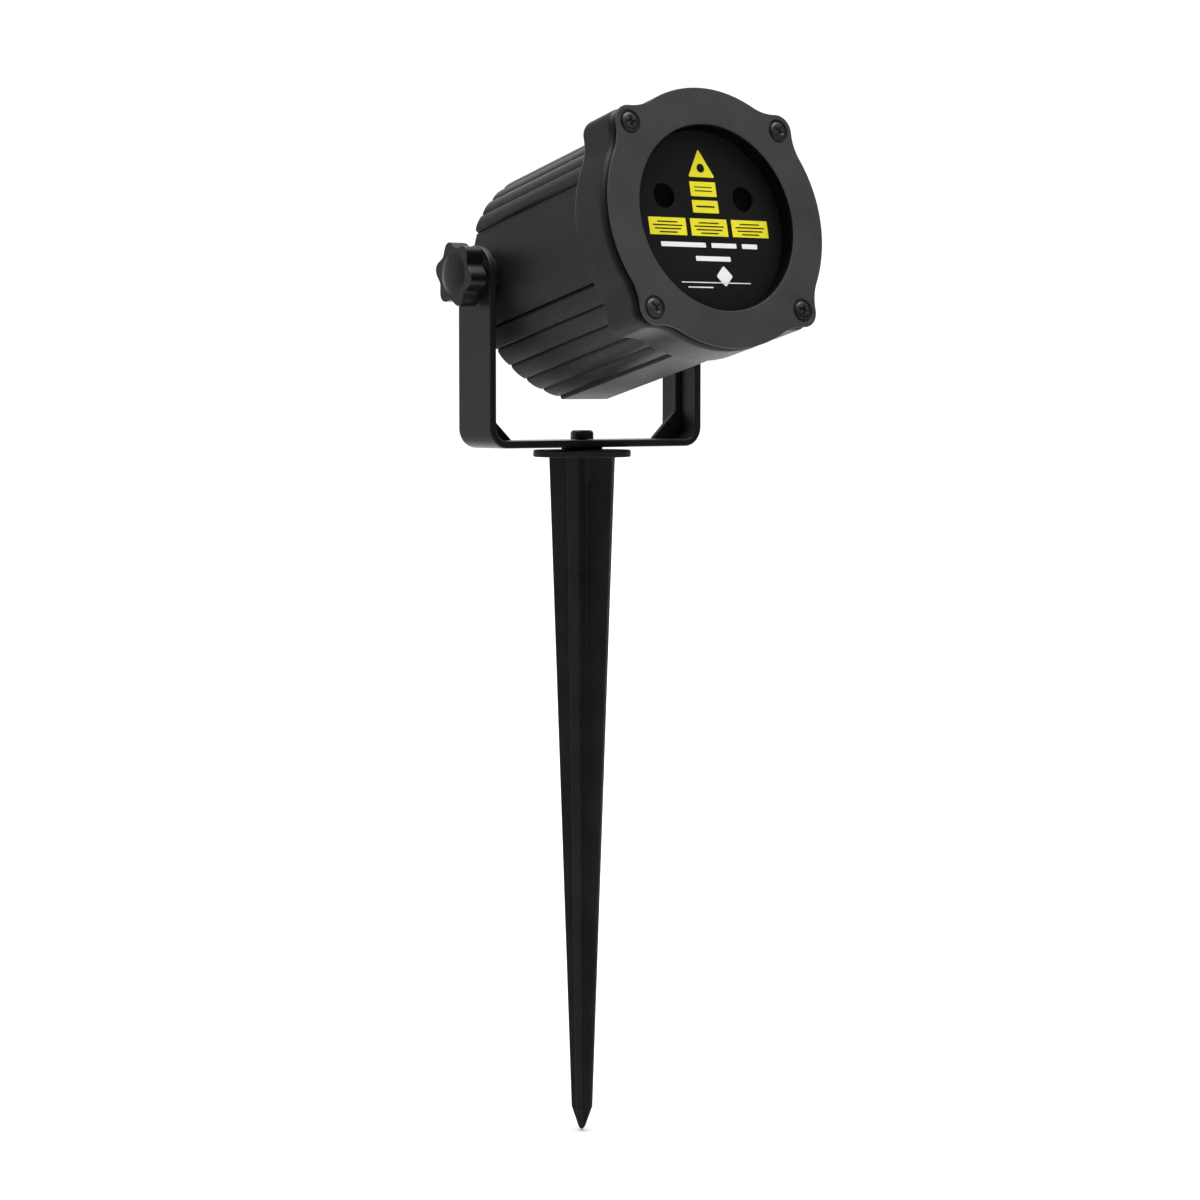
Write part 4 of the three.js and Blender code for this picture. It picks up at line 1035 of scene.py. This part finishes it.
# direction, cosines at which the light starts and is full, strength
SOFT_LIGHTS = (
    ((0, 0, 1), 0.45, 0.98, 1.0),  # above
    ((0, 0, -1), 0.35, 0.9, 1.2),  # below
    ((-0.75, 0.65, -0.05), 0.6, 0.97, 0.6),  # behind, on the left
    ((0.58, 0.81, -0.1), 0.66, 0.92, 1.65),  # behind, on the right
    ((0.45, -0.6, 0.6), 0.88, 0.99, 0.5),  # in front, high on the right
    ((0, 0, 1), -2, -1.5, 0.03),  # the same from every direction
)


def make_stage():
    material, tree, shader = new_material("floor_white")
    cloud = noise(tree, 3, 3)
    tone = tinted(tree, spread(tree, cloud, 0, 1), (0.89, 0.89, 0.89), (0.91, 0.91, 0.91))
    tree.links.new(tone, shader.inputs["Base Color"])
    shader.inputs["Roughness"].default_value = 0.9
    shader.inputs["Specular IOR Level"].default_value = 0.1
    height = cad_low.z - 0.0005
    rings = [[(0, 0, height)]]
    for radius in (0.5, 2, 6, 14):
        rings.append([(*polar(radius, angle), height) for angle in FLOOR_ANGLES])
    floor = loft(rings)
    floor.name = "floor"
    floor.data.materials.append(material)
    for face in floor.data.polygons:
        face.use_smooth = True
    floor.visible_glossy = False


def toward(tree, aim, low, high, amount):
    """Light that grows to amount where the direction turns from low to high cosines of aim."""
    place = tree.nodes.new("ShaderNodeTexCoord")
    dot = tree.nodes.new("ShaderNodeVectorMath")
    dot.operation = "DOT_PRODUCT"
    dot.inputs[1].default_value = Vector(aim).normalized()
    tree.links.new(place.outputs["Generated"], dot.inputs[0])
    ramp = tree.nodes.new("ShaderNodeMapRange")
    ramp.interpolation_type = "SMOOTHSTEP"
    ramp.inputs["From Min"].default_value = low
    ramp.inputs["From Max"].default_value = high
    ramp.inputs["To Max"].default_value = amount
    tree.links.new(dot.outputs["Value"], ramp.inputs["Value"])
    return ramp.outputs["Result"]


def added(tree, first, second):
    node = tree.nodes.new("ShaderNodeMath")
    node.operation = "ADD"
    tree.links.new(first, node.inputs[0])
    tree.links.new(second, node.inputs[1])
    return node.outputs["Value"]


def make_light():
    """White background for the camera. The light itself is a dim room with soft bright sides."""
    world = bpy.data.worlds.new("studio")
    bpy.context.scene.world = world
    world.use_nodes = True
    tree = world.node_tree
    room = tree.nodes["Background"]
    room.inputs["Color"].default_value = (1, 1, 1, 1)
    total = toward(tree, *SOFT_LIGHTS[0])
    for light in SOFT_LIGHTS[1:]:
        total = added(tree, total, toward(tree, *light))
    tree.links.new(total, room.inputs["Strength"])
    backdrop = tree.nodes.new("ShaderNodeBackground")
    backdrop.inputs["Color"].default_value = (1, 1, 1, 1)
    backdrop.inputs["Strength"].default_value = 1.1
    path = tree.nodes.new("ShaderNodeLightPath")
    mix = tree.nodes.new("ShaderNodeMixShader")
    tree.links.new(path.outputs["Is Camera Ray"], mix.inputs["Fac"])
    tree.links.new(room.outputs["Background"], mix.inputs[1])
    tree.links.new(backdrop.outputs["Background"], mix.inputs[2])
    tree.links.new(mix.outputs["Shader"], tree.nodes["World Output"].inputs["Surface"])
    sun = bpy.data.lights.new("top_light", "SUN")
    sun.energy = 3.2
    sun.angle = math.radians(60)
    lamp = bpy.data.objects.new("top_light", sun)
    bpy.context.scene.collection.objects.link(lamp)


def make_camera():
    """Camera at the photograph's angle: low, in front and to the left."""
    azimuth, elevation = math.radians(35.48), math.radians(4.21)
    distance = 1.2759
    target = Vector((0, 0, -0.0631))
    back = Vector((
        -math.sin(azimuth) * math.cos(elevation),
        -math.cos(azimuth) * math.cos(elevation),
        math.sin(elevation),
    ))
    data = bpy.data.cameras.new("camera")
    data.lens = 86.8
    data.sensor_width = 36
    data.shift_x = 0.015
    camera = bpy.data.objects.new("camera", data)
    bpy.context.scene.collection.objects.link(camera)
    camera.location = target + back * distance
    camera.rotation_mode = "QUATERNION"
    camera.rotation_quaternion = (-back).to_track_quat("-Z", "Y")
    bpy.context.scene.camera = camera
    bpy.context.scene.view_settings.view_transform = "Standard"


# ---------------------------------------------------------------- assembly

make_camera()
dress_cad_nodes()
make_spike()
make_pan_bolt()
make_yoke()
make_knob(-1)
make_knob(1)
make_housing()
make_bezel()
make_mask()
make_screws()
make_rear_cover()
make_gland()
make_print()
make_stage()
make_light()
